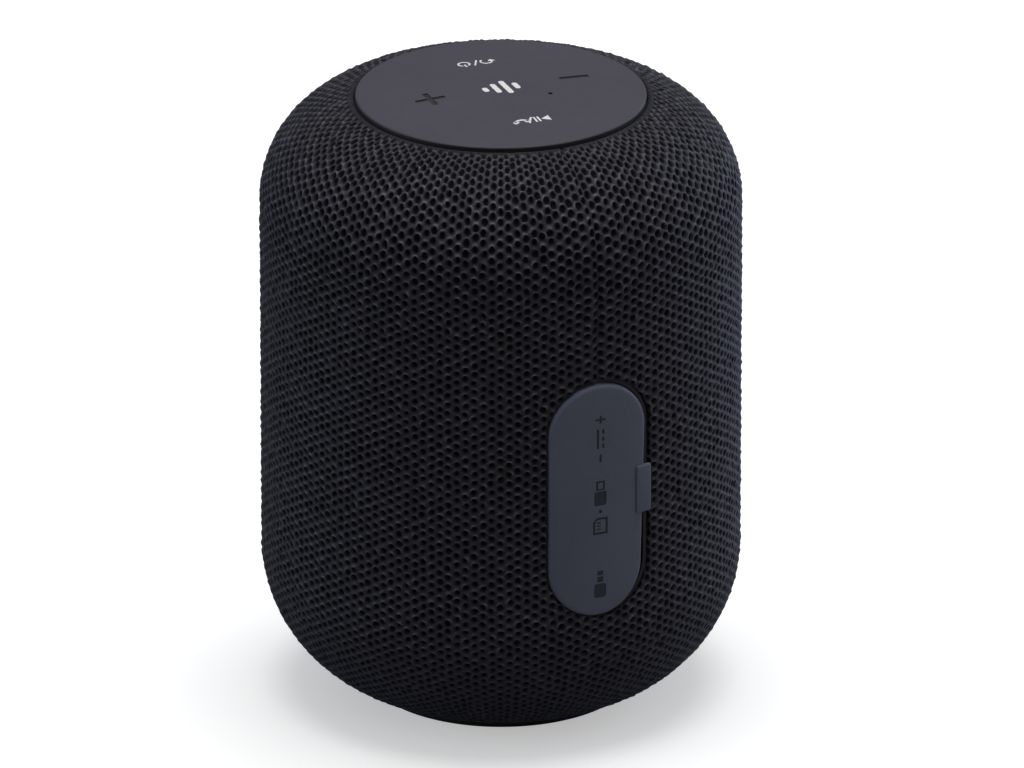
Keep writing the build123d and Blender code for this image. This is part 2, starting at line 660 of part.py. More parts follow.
def driver_surround():
    """The half-roll rubber surround and its outer landing on the flange."""
    roll = ROLL_WIDTH / 2
    middle = CONE_RADIUS + roll
    skin = 0.25
    low = DRIVER_TOP + 0.02
    high = low + skin
    inside = CONE_RADIUS - 1.2
    outside = CONE_RADIUS + ROLL_WIDTH + 2.5
    bore = roll - skin
    outline = [
        Line((middle + bore, low), (outside, low)),
        Line((outside, low), (outside, high)),
        Line((outside, high), (middle + roll, high)),
        ThreePointArc((middle + roll, high), (middle, high + roll), (middle - roll, high)),
        Line((middle - roll, high), (inside, high)),
        Line((inside, high), (inside, low)),
        Line((inside, low), (middle - bore, low)),
        ThreePointArc((middle - bore, low), (middle, low + roll), (middle + bore, low)),
    ]
    return revolve(Plane.XZ * make_face(outline), Axis.Z)


def driver_spider():
    """The corrugated centring disc between the coil and the basket."""
    inner = POLE_RADIUS + 0.38
    outer = 13.4
    points = 9
    step = (outer - inner) / (points - 1)
    wave = [(inner + i * step, SPIDER_Z + 0.05 + 0.5 * (i % 2)) for i in range(points)]
    top = [(r, z + 0.3) for r, z in reversed(wave)]
    return lathe(*wave, *top)


def driver_screws():
    """Four screws that hold the driver's ears to the baffle."""
    z = DRIVER_TOP - 1.2
    return united([screw_up(x, y, z, 5.4) for x, y in four_corners(EAR_ORBIT)])


# ---------------------------------------------------------------- main board and battery
MAIN_BOARD_Y = (-33.9, -18.8)
MAIN_BOARD_Z = (PORT_Z - 22.5, PORT_Z + 21.9)
HEADER_Y = -20.6
HEADER_Z = (PORT_Z - 20.2, PORT_Z - 15.7, PORT_Z + 17.9)
HEADER_DEPTH = 4.0
CELL = (24.0, 15.0, 10.0)   # half width, half depth and thickness
WIRE = 0.55
WIRE_OFFSET = 0.8           # half the spacing of a pair of wires


def main_board():
    """The board that carries the sockets, upright behind the port panel."""
    board = block(*BOARD_X, *MAIN_BOARD_Y, *MAIN_BOARD_Z)
    for z in board_screw_heights():
        board -= rod_x(1.15, BOARD_SCREW_Y, z, -10, 10)
    return board


def board_screws():
    """Two screws that hold the main board to the panel's ears."""
    screws = []
    for z in board_screw_heights():
        screw = rod_x(SCREW_HEAD, BOARD_SCREW_Y, z, BOARD_X[1], BOARD_X[1] + SCREW_HEAD_HEIGHT)
        screw += rod_x(0.92, BOARD_SCREW_Y, z, BOARD_X[0] - 3.2, BOARD_X[1] + 0.1)
        screws.append(screw)
    return united(screws)


def signal_chips():
    """The radio, amplifier and charger chips on the back of the board."""
    back = BOARD_X[0]
    chips = [
        block(back - 1.0, back, -27.0, -19.0, PORT_Z - 16.0, PORT_Z - 8.5),
        block(back - 1.2, back, -26.5, -20.0, PORT_Z + 8.0, PORT_Z + 14.0),
        block(back - 0.9, back, -25.5, -21.0, PORT_Z - 21.0, PORT_Z - 17.0),
    ]
    return united(chips)


def capacitors():
    """Three electrolytic cans lying along X on the front of the board."""
    front = BOARD_X[1]
    places = [(-25.0, PORT_Z + 9.5), (-25.0, PORT_Z + 15.0), (-20.0, PORT_Z + 12.0)]
    return united([rod_x(2.2, y, z, front, front + 5.6) for y, z in places])


def power_inductor():
    """The shielded coil of the charger."""
    return block(BOARD_X[1], BOARD_X[1] + 3.0, -21.9, -18.6, PORT_Z - 12.5, PORT_Z - 8.5)


def cable_headers():
    """Three cable headers near the board's inner edge."""
    headers = []
    for z in HEADER_Z:
        x = BOARD_X[1]
        headers.append(block(x, x + HEADER_DEPTH, HEADER_Y - 1.6, HEADER_Y + 1.6, z - 1.8, z + 1.8))
    return united(headers)


def battery_tray():
    """The plate that holds the cell above the base, with lips on its four sides."""
    half_x, half_y, _ = CELL
    outline = RectangleRounded(2 * half_x + 2.6, 2 * half_y + 2.6, 8)
    tray = Pos(0, 0, TRAY_Z[0]) * extrude(outline, TRAY_Z[1] - TRAY_Z[0])
    lip_top = TRAY_Z[1] + 6
    for side in (-1, 1):
        tray += Pos(side * (half_x + 0.7), 0, 0) * block(-0.6, 0.6, -8, 8, TRAY_Z[0], lip_top)
        tray += Pos(0, side * (half_y + 0.7), 0) * block(-14, 14, -0.6, 0.6, TRAY_Z[0], lip_top)
        tray -= post(SCREW_SHANK + 0.2, 0, 20, side * TRAY_SCREW_X)
        tray -= post(SCREW_HEAD + 0.1, TRAY_Z[1] - 0.9, 20, side * TRAY_SCREW_X)
    return tray


def tray_screws():
    """Two flat screws that hold the tray to the base."""
    screws = []
    for side in (-1, 1):
        x = side * TRAY_SCREW_X
        head = post(SCREW_HEAD, TRAY_Z[1] - 0.9, TRAY_Z[1] - 0.1, x)
        screws.append(head + post(SCREW_SHANK, TRAY_Z[0] - 4.0, TRAY_Z[1] - 0.8, x))
    return united(screws)


def battery_cell():
    """The flat lithium cell, with softened edges."""
    half_x, half_y, thickness = CELL
    cell = block(-half_x, half_x, -half_y, half_y, TRAY_Z[1] + 0.05, TRAY_Z[1] + thickness)
    return fillet(cell.edges().filter_by(Axis.Z), 2.0)


def battery_lead(offset):
    """One battery wire, from the cell's end to its header on the main board."""
    return cable(
        WIRE,
        (CELL[0] + 0.3, 3.0, 20.0 + offset),
        (CELL[0] + 3.5, 0.0, 21.5 + offset),
        (17.0, -16.0, 26.5 + offset),
        (BOARD_X[1] + HEADER_DEPTH + 3.0, HEADER_Y, HEADER_Z[0] + offset),
        (BOARD_X[1] + HEADER_DEPTH + 0.3, HEADER_Y, HEADER_Z[0] + offset),
    )


def speaker_lead(offset):
    """One driver wire, from its tag beside the magnet to its header on the main board."""
    return cable(
        WIRE,
        (17.4, -8.0 + offset, 62.0),
        (15.0, -15.0 + offset, 50.0),
        (10.0, -18.5 + offset, 38.0),
        (BOARD_X[1] + HEADER_DEPTH + 3.0, HEADER_Y + offset, HEADER_Z[1]),
        (BOARD_X[1] + HEADER_DEPTH + 0.3, HEADER_Y + offset, HEADER_Z[1]),
    )


def button_cable():
    """The cable from the button board, through the baffle, to the main board."""
    x, y = CABLE_HOLE
    header_x = BOARD_X[1] + HEADER_DEPTH / 2
    return cable(
        1.1,
        (4.0, -14.0, BUTTON_BOARD_Z[0] - 1.2),
        (7.0, -22.5, 91.5),
        (x, y, BAFFLE_Z + 3.0),
        (x, y, BAFFLE_Z - 1.5),
        (header_x + 2.0, HEADER_Y - 2.5, 73.5),
        (header_x, HEADER_Y - 0.4, HEADER_Z[2] + 2.4),
    )


NODES = {
    "fabric_sleeve": fabric_sleeve,
    "housing_body": housing_body,
    "base_shell": base_shell,
    "base_gasket": base_gasket,
    "rubber_foot": rubber_foot,
    "button_pad": button_pad,
    "top_cap": top_cap,
    "top_cap_screws": top_cap_screws,
    "button_board": button_board,
    "button_board_screws": button_board_screws,
    "tact_switches": tact_switches,
    "microphone": microphone,
    "status_led": status_led,
    "button_cable": button_cable,
    "port_panel": port_panel,
    "port_cover": port_cover,
    "cover_anchor": cover_anchor,
    "aux_jack": aux_jack,
    "usb_shell": lambda: socket_shell(USB_X, USB_Z, USB_SIZE, 0.3),
    "usb_tongue": usb_tongue,
    "card_socket": lambda: socket_shell(CARD_X, USB_Z, CARD_SIZE, 0.25),
    "dc_socket": lambda: socket_shell(DC_X, DC_Z, DC_SIZE, 0.3),
    "main_board": main_board,
    "board_screws": board_screws,
    "signal_chips": signal_chips,
    "capacitors": capacitors,
    "power_inductor": power_inductor,
    "cable_headers": cable_headers,
    "battery_tray": battery_tray,
    "tray_screws": tray_screws,
    "battery_cell": battery_cell,
    "battery_lead_red": lambda: battery_lead(WIRE_OFFSET),
    "battery_lead_black": lambda: battery_lead(-WIRE_OFFSET),
    "speaker_lead_red": lambda: speaker_lead(WIRE_OFFSET),
    "speaker_lead_black": lambda: speaker_lead(-WIRE_OFFSET),
    "baffle": baffle,
    "baffle_screws": baffle_screws,
    "driver_gasket": driver_gasket,
    "driver_basket": driver_basket,
    "driver_top_plate": driver_top_plate,
    "driver_magnet": driver_magnet,
    "driver_yoke": driver_yoke,
    "voice_coil": voice_coil,
    "driver_cone": driver_cone,
    "dust_cap": dust_cap,
    "driver_surround": driver_surround,
    "driver_spider": driver_spider,
    "driver_screws": driver_screws,
}
for key_name in KEYS:
    NODES["key_" + key_name] = lambda name=key_name: key(name)
    NODES["plunger_" + key_name] = lambda name=key_name: plunger(name)

os.makedirs("parts", exist_ok=True)
for node, make in NODES.items():
    export_step(make(), f"parts/{node}.step")
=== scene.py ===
import json
import math

import bmesh
import bpy
import numpy as np
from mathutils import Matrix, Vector


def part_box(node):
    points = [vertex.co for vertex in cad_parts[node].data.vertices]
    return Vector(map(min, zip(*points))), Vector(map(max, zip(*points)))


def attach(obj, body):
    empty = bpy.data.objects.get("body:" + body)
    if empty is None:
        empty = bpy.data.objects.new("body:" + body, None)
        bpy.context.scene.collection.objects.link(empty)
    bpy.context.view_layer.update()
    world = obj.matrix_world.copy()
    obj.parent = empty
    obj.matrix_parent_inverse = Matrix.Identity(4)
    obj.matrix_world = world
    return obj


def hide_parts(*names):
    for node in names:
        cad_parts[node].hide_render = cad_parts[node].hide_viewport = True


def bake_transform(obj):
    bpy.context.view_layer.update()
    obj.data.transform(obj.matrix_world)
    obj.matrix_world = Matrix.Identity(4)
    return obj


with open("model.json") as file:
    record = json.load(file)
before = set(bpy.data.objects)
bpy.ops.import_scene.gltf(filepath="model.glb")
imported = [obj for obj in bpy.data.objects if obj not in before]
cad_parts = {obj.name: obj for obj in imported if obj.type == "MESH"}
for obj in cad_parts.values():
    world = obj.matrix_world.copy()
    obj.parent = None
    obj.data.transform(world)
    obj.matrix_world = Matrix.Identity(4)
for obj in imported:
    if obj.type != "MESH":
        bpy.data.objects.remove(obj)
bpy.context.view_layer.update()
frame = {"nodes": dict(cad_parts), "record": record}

# A portable speaker.  The work is done in millimetres and scaled to metres when a mesh is made.
# Directions round the barrel are angles from -Y, the side of the port cover, towards +X.
MM = 0.001


def cad_box(node):
    """Lowest and highest corner of a CAD node, in millimetres."""
    low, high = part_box(node)
    return low / MM, high / MM


SLEEVE_HIGH = cad_box("fabric_sleeve")[1]
PAD_LOW, PAD_HIGH = cad_box("button_pad")
COVER_LOW, COVER_HIGH = cad_box("port_cover")
FOOT_HIGH = cad_box("rubber_foot")[1]
ANCHOR_LOW, ANCHOR_HIGH = cad_box("cover_anchor")

BODY_RADIUS = SLEEVE_HIGH.x
SHOULDER_RADIUS = 17.6
BASE_RADIUS = 25.4
PAD_DOME = 1.0              # how much the pad's middle stands above its rim
PAD_PROUD = 0.65            # how much the pad's rim stands above the fabric
PAD_EDGE_Z = PAD_HIGH.z - PAD_DOME
FABRIC_TOP = PAD_EDGE_Z - PAD_PROUD
SHOULDER_CENTRE = (BODY_RADIUS - SHOULDER_RADIUS, FABRIC_TOP - SHOULDER_RADIUS)
BASE_CENTRE = (BODY_RADIUS - BASE_RADIUS, BASE_RADIUS)
PAD_RADIUS = PAD_HIGH.x
PAD_TOP = PAD_HIGH.z
PORT_Z = (COVER_LOW.z + COVER_HIGH.z) / 2
COVER_HALF = -COVER_LOW.x
COVER_CORE = (COVER_HIGH.z - COVER_LOW.z) / 2 - COVER_HALF      # half length of its straight middle
COVER_FACE = BODY_RADIUS + 0.7                                  # radius of the cover's outer face
KEY_PLACES = {key: sum(cad_box("key_" + key), Vector()) / 2 for key in ("plus", "minus", "power", "play")}

rng = np.random.default_rng(11)


# ---------- meshes
def put(name, data):
    """An object in the scene with this mesh, curve, light or camera."""
    thing = bpy.data.objects.new(name, data)
    bpy.context.scene.collection.objects.link(thing)
    return thing


def new_piece(name, mesh, slot, body=None, material=None):
    """A mesh as a piece of this material slot, riding on a body if one is named."""
    piece = put(name, mesh)
    piece.data.materials.append(material or FINISHES[slot])
    if body is not None:
        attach(piece, body)
    return piece


def mesh_from_arrays(name, vertices, quads, triangles):
    """A smooth-shaded mesh from numpy arrays of vertices (mm), quads and triangles."""
    mesh = bpy.data.meshes.new(name)
    loops = np.concatenate([quads.ravel(), triangles.ravel()]).astype(np.int32)
    sizes = np.concatenate([np.full(len(quads), 4), np.full(len(triangles), 3)]).astype(np.int32)
    starts = np.concatenate([[0], np.cumsum(sizes)[:-1]]).astype(np.int32)
    mesh.vertices.add(len(vertices))
    mesh.vertices.foreach_set("co", (vertices * MM).astype(np.float32).ravel())
    mesh.loops.add(len(loops))
    mesh.loops.foreach_set("vertex_index", loops)
    mesh.polygons.add(len(sizes))
    mesh.polygons.foreach_set("loop_start", starts)
    mesh.polygons.foreach_set("loop_total", sizes)
    mesh.update(calc_edges=True)
    mesh.validate()
    mesh.shade_smooth()
    return mesh


def mesh_from_lists(name, vertices, faces):
    """A mesh from plain lists in millimetres, with its faces turned outwards."""
    mesh = bpy.data.meshes.new(name)
    mesh.from_pydata([[c * MM for c in v] for v in vertices], [], faces)
    work = bmesh.new()
    work.from_mesh(mesh)
    bmesh.ops.remove_doubles(work, verts=work.verts, dist=1e-7)
    bmesh.ops.recalc_face_normals(work, faces=work.faces)
    work.to_mesh(mesh)
    work.free()
    return mesh


def smooth_by_angle(piece, degrees=35):
    """Smooth shading that keeps edges sharper than the angle."""
    piece.data.shade_smooth()
    piece.data.set_sharp_from_angle(angle=math.radians(degrees))


def turned(name, outline, segments):
    """A closed mesh turned about Z from (radius, z) points, first and last on the axis or joined."""
    vertices = []
    faces = []
    count = len(outline)
    for i in range(segments):
        angle = 2 * math.pi * i / segments
        vertices += [(r * math.sin(angle), -r * math.cos(angle), z) for r, z in outline]
    for i in range(segments):
        here = i * count
        there = (i + 1) % segments * count
        for k in range(count):
            after = (k + 1) % count
            faces.append((here + k, there + k, there + after, here + after))
    return mesh_from_lists(name, vertices, faces)


def skinned(name, rings):
    """A closed mesh through rings with the same number of points (mm), with flat ends."""
    count = len(rings[0])
    vertices = [point for ring in rings for point in ring]
    last = len(vertices) - count
    faces = [tuple(range(count)), tuple(range(last, len(vertices)))]
    for here in range(0, last, count):
        for k in range(count):
            after = (k + 1) % count
            faces.append((here + k, here + after, here + count + after, here + count + k))
    return mesh_from_lists(name, vertices, faces)


def carve(piece, tools, operation="DIFFERENCE"):
    """Cuts tool meshes out of a piece, or joins them to it, and removes the tools."""
    for mesh in tools:
        tool = put("tool", mesh)
        modifier = piece.modifiers.new("Boolean", "BOOLEAN")
        modifier.object = tool
        modifier.operation = operation
        modifier.solver = "EXACT"
        graph = bpy.context.evaluated_depsgraph_get()
        old = piece.data
        piece.data = bpy.data.meshes.new_from_object(piece.evaluated_get(graph))
        piece.modifiers.clear()
        bpy.data.meshes.remove(old)
        bpy.data.objects.remove(tool)
        bpy.data.meshes.remove(mesh)


def slab(name, outlines, thickness, place):
    """A flat plate with these closed outlines, inner ones being holes; place bends its points (mm)."""
    curve = bpy.data.curves.new(name, "CURVE")
    curve.dimensions = "2D"
    curve.fill_mode = "BOTH"
    curve.extrude = thickness / 2
    for outline in outlines:
        spline = curve.splines.new("POLY")
        spline.points.add(len(outline) - 1)
        for point, (x, y) in zip(spline.points, outline):
            point.co = (x, y, 0, 1)
        spline.use_cyclic_u = True
    holder = put(name, curve)
    graph = bpy.context.evaluated_depsgraph_get()
    mesh = bpy.data.meshes.new_from_object(holder.evaluated_get(graph))
    bpy.data.objects.remove(holder)
    bpy.data.curves.remove(curve)
    work = bmesh.new()
    work.from_mesh(mesh)
    bmesh.ops.remove_doubles(work, verts=work.verts, dist=1e-4)
    for vertex in work.verts:
        vertex.co = Vector(place(vertex.co.x, vertex.co.y, vertex.co.z)) * MM
    bmesh.ops.recalc_face_normals(work, faces=work.faces)
    work.to_mesh(mesh)
    work.free()
    mesh.name = name
    return mesh


# ---------- flat outlines for signs
def bar(x, y, width, height, corner=0.0, steps=5):
    """A rectangle about (x, y), rounded where a corner radius is given."""
    half_w = width / 2 - corner
    half_h = height / 2 - corner
    points = []
    for quarter, (side_x, side_y) in enumerate(((1, 1), (-1, 1), (-1, -1), (1, -1))):
        for k in range(steps + 1 if corner else 1):
            angle = math.radians(90 * (quarter + k / steps))
            points.append((
                x + side_x * half_w + corner * math.cos(angle),
                y + side_y * half_h + corner * math.sin(angle),
            ))
    return points


def disc(x, y, radius, steps=32):
    """A circle."""
    angles = [2 * math.pi * k / steps for k in range(steps)]
    return [(x + radius * math.cos(a), y + radius * math.sin(a)) for a in angles]


def band(x, y, radius, width, start, end, steps=24):
    """A stretch of a ring between two angles in degrees."""
    angles = [math.radians(start + (end - start) * k / steps) for k in range(steps + 1)]
    outer = radius + width / 2
    inner = radius - width / 2
    points = [(x + outer * math.cos(a), y + outer * math.sin(a)) for a in angles]
    points += [(x + inner * math.cos(a), y + inner * math.sin(a)) for a in reversed(angles)]
    return points


def slanted(x, y, length, width, degrees):
    """A straight stroke through (x, y)."""
    a = math.radians(degrees)
    along = (math.cos(a) * length / 2, math.sin(a) * length / 2)
    across = (-math.sin(a) * width / 2, math.cos(a) * width / 2)
    return [(x + sx * along[0] + sy * across[0], y + sx * along[1] + sy * across[1])
            for sx, sy in ((-1, -1), (1, -1), (1, 1), (-1, 1))]


def power_sign():
    """An arrow going round for choosing the source, slash, and power."""
    source = [band(-2.45, 0, 0.95, 0.3, -60, 180), [(-4.1, 0.05), (-2.7, 0.05), (-3.4, -0.85)]]
    slash = [slanted(-0.6, 0, 2.5, 0.28, 65)]
    power = [band(1.45, -0.1, 0.95, 0.3, 120, 420), bar(1.45, 0.75, 0.3, 1.15)]
    return source + slash + power


def play_sign():
    """Play, pause, slash, and a handset."""
    play = [[(-3.0, -0.95), (-3.0, 0.95), (-1.5, 0)]]
    pause = [bar(-1.1, 0, 0.32, 1.9), bar(-0.45, 0, 0.32, 1.9)]
    slash = [slanted(0.4, 0, 2.3, 0.26, 65)]
    handset = [
        band(2.0, 0.75, 1.25, 0.45, 205, 335),
        slanted(1.0, 0.25, 0.75, 0.85, 60),
        slanted(3.0, 0.25, 0.75, 0.85, 120),
    ]
    return play + pause + slash + handset


def equaliser_mark():
    """Four rounded bars of different height."""
    heights = (2.6, 5.6, 4.0, 1.8)
    return [bar(-2.7 + 1.8 * i, 0, 0.95, height, 0.45) for i, height in enumerate(heights)]


def plug_sign():
    """An audio plug lying on its side: grip, sleeve, rings and tip."""
    return [
        bar(-1.6, 0, 2.2, 1.9, 0.4),
        bar(0.15, 0, 0.9, 0.9),
        bar(1.15, 0, 0.7, 0.9),
        [(1.75, -0.45), (2.3, -0.45), (2.8, 0), (2.3, 0.45), (1.75, 0.45)],
    ]


def card_sign():
    """A memory card, a dot, and a flat plug."""
    card = [
        [(-4.2, -1.15), (-1.6, -1.15), (-1.6, 0.55), (-2.2, 1.15), (-4.2, 1.15)],
        [(-3.85, -0.8), (-1.95, -0.8), (-1.95, 0.4), (-2.35, 0.8), (-3.85, 0.8)],
    ]
    contacts = [bar(-3.4 + 0.5 * i, 0.25, 0.22, 0.6) for i in range(3)]
    plug = [bar(1.35, 0, 2.2, 1.9, 0.25), bar(3.35, 0, 1.5, 1.35), bar(3.35, 0, 0.9, 0.75)]
    return card + contacts + [disc(-0.65, 0, 0.28, 12)] + plug


def current_sign():
    """Direct current: a line over three dashes, between a barrel's two poles."""
    line = [bar(0, 0.42, 3.0, 0.34)]
    dashes = [bar(-1.1 + 1.1 * i, -0.42, 0.72, 0.34) for i in range(3)]
    minus = [bar(-3.0, 0, 1.2, 0.34)]
    plus = [bar(3.0, 0, 1.2, 0.34), bar(3.0, 0.5, 0.34, 0.6), bar(3.0, -0.5, 0.34, 0.6)]
    return line + dashes + minus + plus


# ---------- materials
class Nodes:
    """Short calls that add nodes to a material's or the world's tree."""

    def __init__(self, tree):
        self.tree = tree

    def add(self, kind, **inputs):
        """Adds a node and sets or links its inputs by name."""
        node = self.tree.nodes.new(kind)
        for key, value in inputs.items():
            self.feed(node.inputs[key.replace("_", " ")], value)
        return node

    def feed(self, socket, value):
        """Sets an input, or links an output to it."""
        if isinstance(value, bpy.types.NodeSocket):
            self.tree.links.new(value, socket)
        else:
            socket.default_value = value

    def spread(self, value, low, high, from_low=0.3, from_high=0.7):
        """Maps a value from one range to another."""
        ends = {"From_Min": from_low, "From_Max": from_high, "To_Min": low, "To_Max": high}
        return self.add("ShaderNodeMapRange", Value=value, **ends).outputs["Result"]

    def maths(self, operation, a, b):
        """One arithmetic step."""
        node = self.add("ShaderNodeMath")
        node.operation = operation
        self.feed(node.inputs[0], a)
        self.feed(node.inputs[1], b)
        return node.outputs[0]

    def mix(self, factor, a, b, blend="MIX"):
        """Mixes two colours."""
        node = self.add("ShaderNodeMix")
        node.data_type = "RGBA"
        node.blend_type = blend
        self.feed(node.inputs["Factor"], factor)
        self.feed(node.inputs["A"], a)
        self.feed(node.inputs["B"], b)
        return node.outputs["Result"]

    def seen_by_camera(self):
        """One for what the camera sees directly, zero for light that bounces."""
        return self.add("ShaderNodeLightPath").outputs["Is Camera Ray"]


class Finish(Nodes):
    """A material made of nodes."""

    def __init__(self, name, colour, roughness, metallic=0.0, specular=0.5):
        self.material = bpy.data.materials.new(name)
        self.material.use_nodes = True
        super().__init__(self.material.node_tree)
        self.shader = self.tree.nodes["Principled BSDF"]
        self.colour = (*colour, 1)
        self.set("Base Color", self.colour)
        self.set("Roughness", roughness)
        self.set("Metallic", metallic)
        self.set("Specular IOR Level", specular)
        self.place = self.add("ShaderNodeTexCoord").outputs["Object"]
        self.last_bump = None

    def set(self, name, value):
        """Sets or links one of the shader's inputs."""
        self.feed(self.shader.inputs[name], value)

    def stretched(self, x, y, z):
        """The place on the object, scaled along each axis."""
        return self.add("ShaderNodeMapping", Vector=self.place, Scale=(x, y, z)).outputs["Vector"]

    def noise(self, size_mm, detail=4.0, roughness=0.55, place=None):
        """Noise whose features are about this size."""
        look = {"Scale": 1 / (size_mm * MM), "Detail": detail, "Roughness": roughness}
        return self.add("ShaderNodeTexNoise", Vector=place or self.place, **look).outputs["Fac"]

    def tinted(self, factor):
        """The base colour made lighter or darker by a factor."""
        grey = self.add("ShaderNodeCombineColor", Red=factor, Green=factor, Blue=factor)
        return self.mix(1.0, self.colour, grey.outputs["Color"], "MULTIPLY")

    def bump(self, height, depth_mm, strength=1.0):
        """Adds a relief of this depth over the ones already there."""
        node = self.add("ShaderNodeBump", Height=height, Strength=strength, Distance=depth_mm * MM)
        if self.last_bump is not None:
            self.tree.links.new(self.last_bump, node.inputs["Normal"])
        self.last_bump = node.outputs["Normal"]
        self.set("Normal", self.last_bump)

    def attribute(self, name):
        """A number stored on the mesh."""
        node = self.add("ShaderNodeAttribute")
        node.attribute_name = name
        return node.outputs["Fac"]


def mesh_fabric(name, yarn, hole):
    """Knitted mesh: fine filaments with a cool sheen, a painted highlight on each loop's upper side, and
    darker in the holes, where the darker layer under the knit shows with painted shade on the holes' walls.
    """
    finish = Finish(name, yarn, 0.6)
    depth = finish.attribute("depth")
    ring = finish.attribute("ring")
    crown = finish.attribute("crown")
    blotch = finish.spread(finish.noise(9.0, 3.0), 0.86, 1.14)
    fuzz = finish.spread(finish.noise(0.22, 5.0, 0.7), 0.55, 1.5)
    # painted highlight: the yarn's upper side made lighter, as if lit from above
    painted_highlight = finish.spread(crown, 0.6, 2.7, 0.0, 1.0)
    strand = finish.tinted(finish.maths("MULTIPLY", finish.maths("MULTIPLY", blotch, fuzz), painted_highlight))
    # darker down the holes: the darker layer under the knit, with painted shade on the holes' walls
    finish.set("Base Color", finish.mix(depth, strand, (*hole, 1)))
    filaments = finish.maths("SINE", finish.maths("MULTIPLY", ring, 52.0), 0.0)
    finish.bump(filaments, 0.012, 0.6)
    finish.bump(finish.noise(0.10, 4.0, 0.7), 0.05, 0.6)
    # no reflection or sheen down the holes, as painted shade; more reflection on the upper sides, with the
    # painted highlight
    open_air = finish.maths("SUBTRACT", 1.0, depth)
    shine = finish.spread(crown, 0.2, 0.8, 0.0, 1.0)
    finish.set("Specular IOR Level", finish.maths("MULTIPLY", open_air, shine))
    finish.set("Sheen Weight", finish.maths("MULTIPLY", open_air, 0.08))
    finish.set("Sheen Roughness", 0.4)
    finish.set("Sheen Tint", (0.60, 0.70, 1.0, 1))
    finish.set("Roughness", finish.spread(finish.noise(0.3), 0.48, 0.7))
    return finish.material


def silicone(name, colour, grain_mm=0.28):
    """Matte rubber with a spark-eroded grain and faint handling marks."""
    finish = Finish(name, colour, 0.6, specular=0.4)
    cloud = finish.spread(finish.noise(14.0, 3.0), 0.93, 1.07)
    speck = finish.spread(finish.noise(grain_mm, 2.0), 0.92, 1.08)
    finish.set("Base Color", finish.tinted(finish.maths("MULTIPLY", cloud, speck)))
    finish.set("Roughness", finish.spread(finish.noise(6.0, 5.0), 0.52, 0.66))
    finish.bump(finish.noise(grain_mm, 3.0, 0.6), 0.02, 0.45)
    finish.set("Sheen Weight", 0.06)
    return finish.material


def speckled(finish, speck, darkest, lightest, relief, depth_mm, strength):
    """Gives a finish uneven colour and a relief, each from a noise of its own."""
    finish.set("Base Color", finish.tinted(finish.spread(finish.noise(*speck), darkest, lightest)))
    finish.bump(finish.noise(*relief), depth_mm, strength)
    return finish.material


def printed_ink(name, colour):
    """Pad-printed ink, slightly uneven."""
    return speckled(Finish(name, colour, 0.5), (0.5, 3.0), 0.9, 1.05, (0.2,), 0.008, 0.5)


def painted_shade_floor(name, colour):
    """Painted shade: a dark sheet on the floor of a sunk sign."""
    return speckled(Finish(name, colour, 0.65), (0.4, 3.0), 0.8, 1.2, (0.15,), 0.01, 0.5)


def moulded(name, colour, roughness=0.45, grain_mm=0.35):
    """Moulded plastic with a fine texture and slight flow marks."""
    finish = Finish(name, colour, roughness)
    flow = finish.spread(finish.noise(8.0, 2.0, place=finish.stretched(1, 1, 0.35)), 0.88, 1.12)
    finish.set("Base Color", finish.tinted(flow))
    finish.set("Roughness", finish.spread(finish.noise(3.0), roughness - 0.06, roughness + 0.1))
    finish.bump(finish.noise(grain_mm, 3.0), 0.015, 0.4)
    return finish.material


def metal(name, colour, roughness, stretch=(1, 1, 18)):
    """Metal with fine drawn marks along one axis."""
    finish = Finish(name, colour, roughness, metallic=1.0)
    marks = finish.noise(1.2, 4.0, 0.6, finish.stretched(*stretch))
    finish.set("Base Color", finish.tinted(finish.spread(marks, 0.85, 1.08)))
    finish.set("Roughness", finish.spread(marks, roughness - 0.06, roughness + 0.14))
    finish.bump(marks, 0.006, 0.4)
    return finish.material


def circuit_board(name, colour, track):
    """Solder mask with copper tracks showing through."""
    finish = Finish(name, colour, 0.32)
    grid = finish.add("ShaderNodeTexBrick", Vector=finish.place, Scale=1 / (9.0 * MM))
    grid.inputs["Mortar Size"].default_value = 0.03
    tracks = grid.outputs["Fac"]
    mask = finish.tinted(finish.spread(finish.noise(5.0), 0.85, 1.1))
    finish.set("Base Color", finish.mix(tracks, mask, (*track, 1)))
    finish.bump(tracks, 0.03, 0.5)
    return finish.material


def sintered(name, colour):
    """Ferrite: dull and finely pitted."""
    finish = Finish(name, colour, 0.55, metallic=0.3)
    return speckled(finish, (0.8, 5.0), 0.75, 1.25, (0.3, 5.0, 0.7), 0.03, 0.6)


def pressed_paper(name, colour):
    """Pressed pulp or cloth: fibrous and matte."""
    finish = Finish(name, colour, 0.9, specular=0.2)
    return speckled(finish, (0.5, 6.0, 0.7), 0.7, 1.3, (0.35, 6.0, 0.75), 0.05, 0.7)


def pouch_foil(name, colour):
    """Crinkled silver laminate."""
    finish = Finish(name, colour, 0.35, metallic=0.9)
    finish.set("Roughness", finish.spread(finish.noise(2.0), 0.25, 0.45))
    finish.bump(finish.noise(3.0, 4.0, 0.6), 0.12, 0.5)
    return finish.material


def wound_copper(name, colour):
    """Enamelled copper turns, one above the other."""
    finish = Finish(name, colour, 0.3, metallic=1.0)
    wave = finish.add("ShaderNodeTexWave", Vector=finish.place, Scale=1 / (0.9 * MM))
    wave.bands_direction = "Z"
    finish.bump(wave.outputs["Fac"], 0.05, 0.8)
    finish.set("Base Color", finish.tinted(finish.spread(finish.noise(1.5), 0.8, 1.15)))
    return finish.material


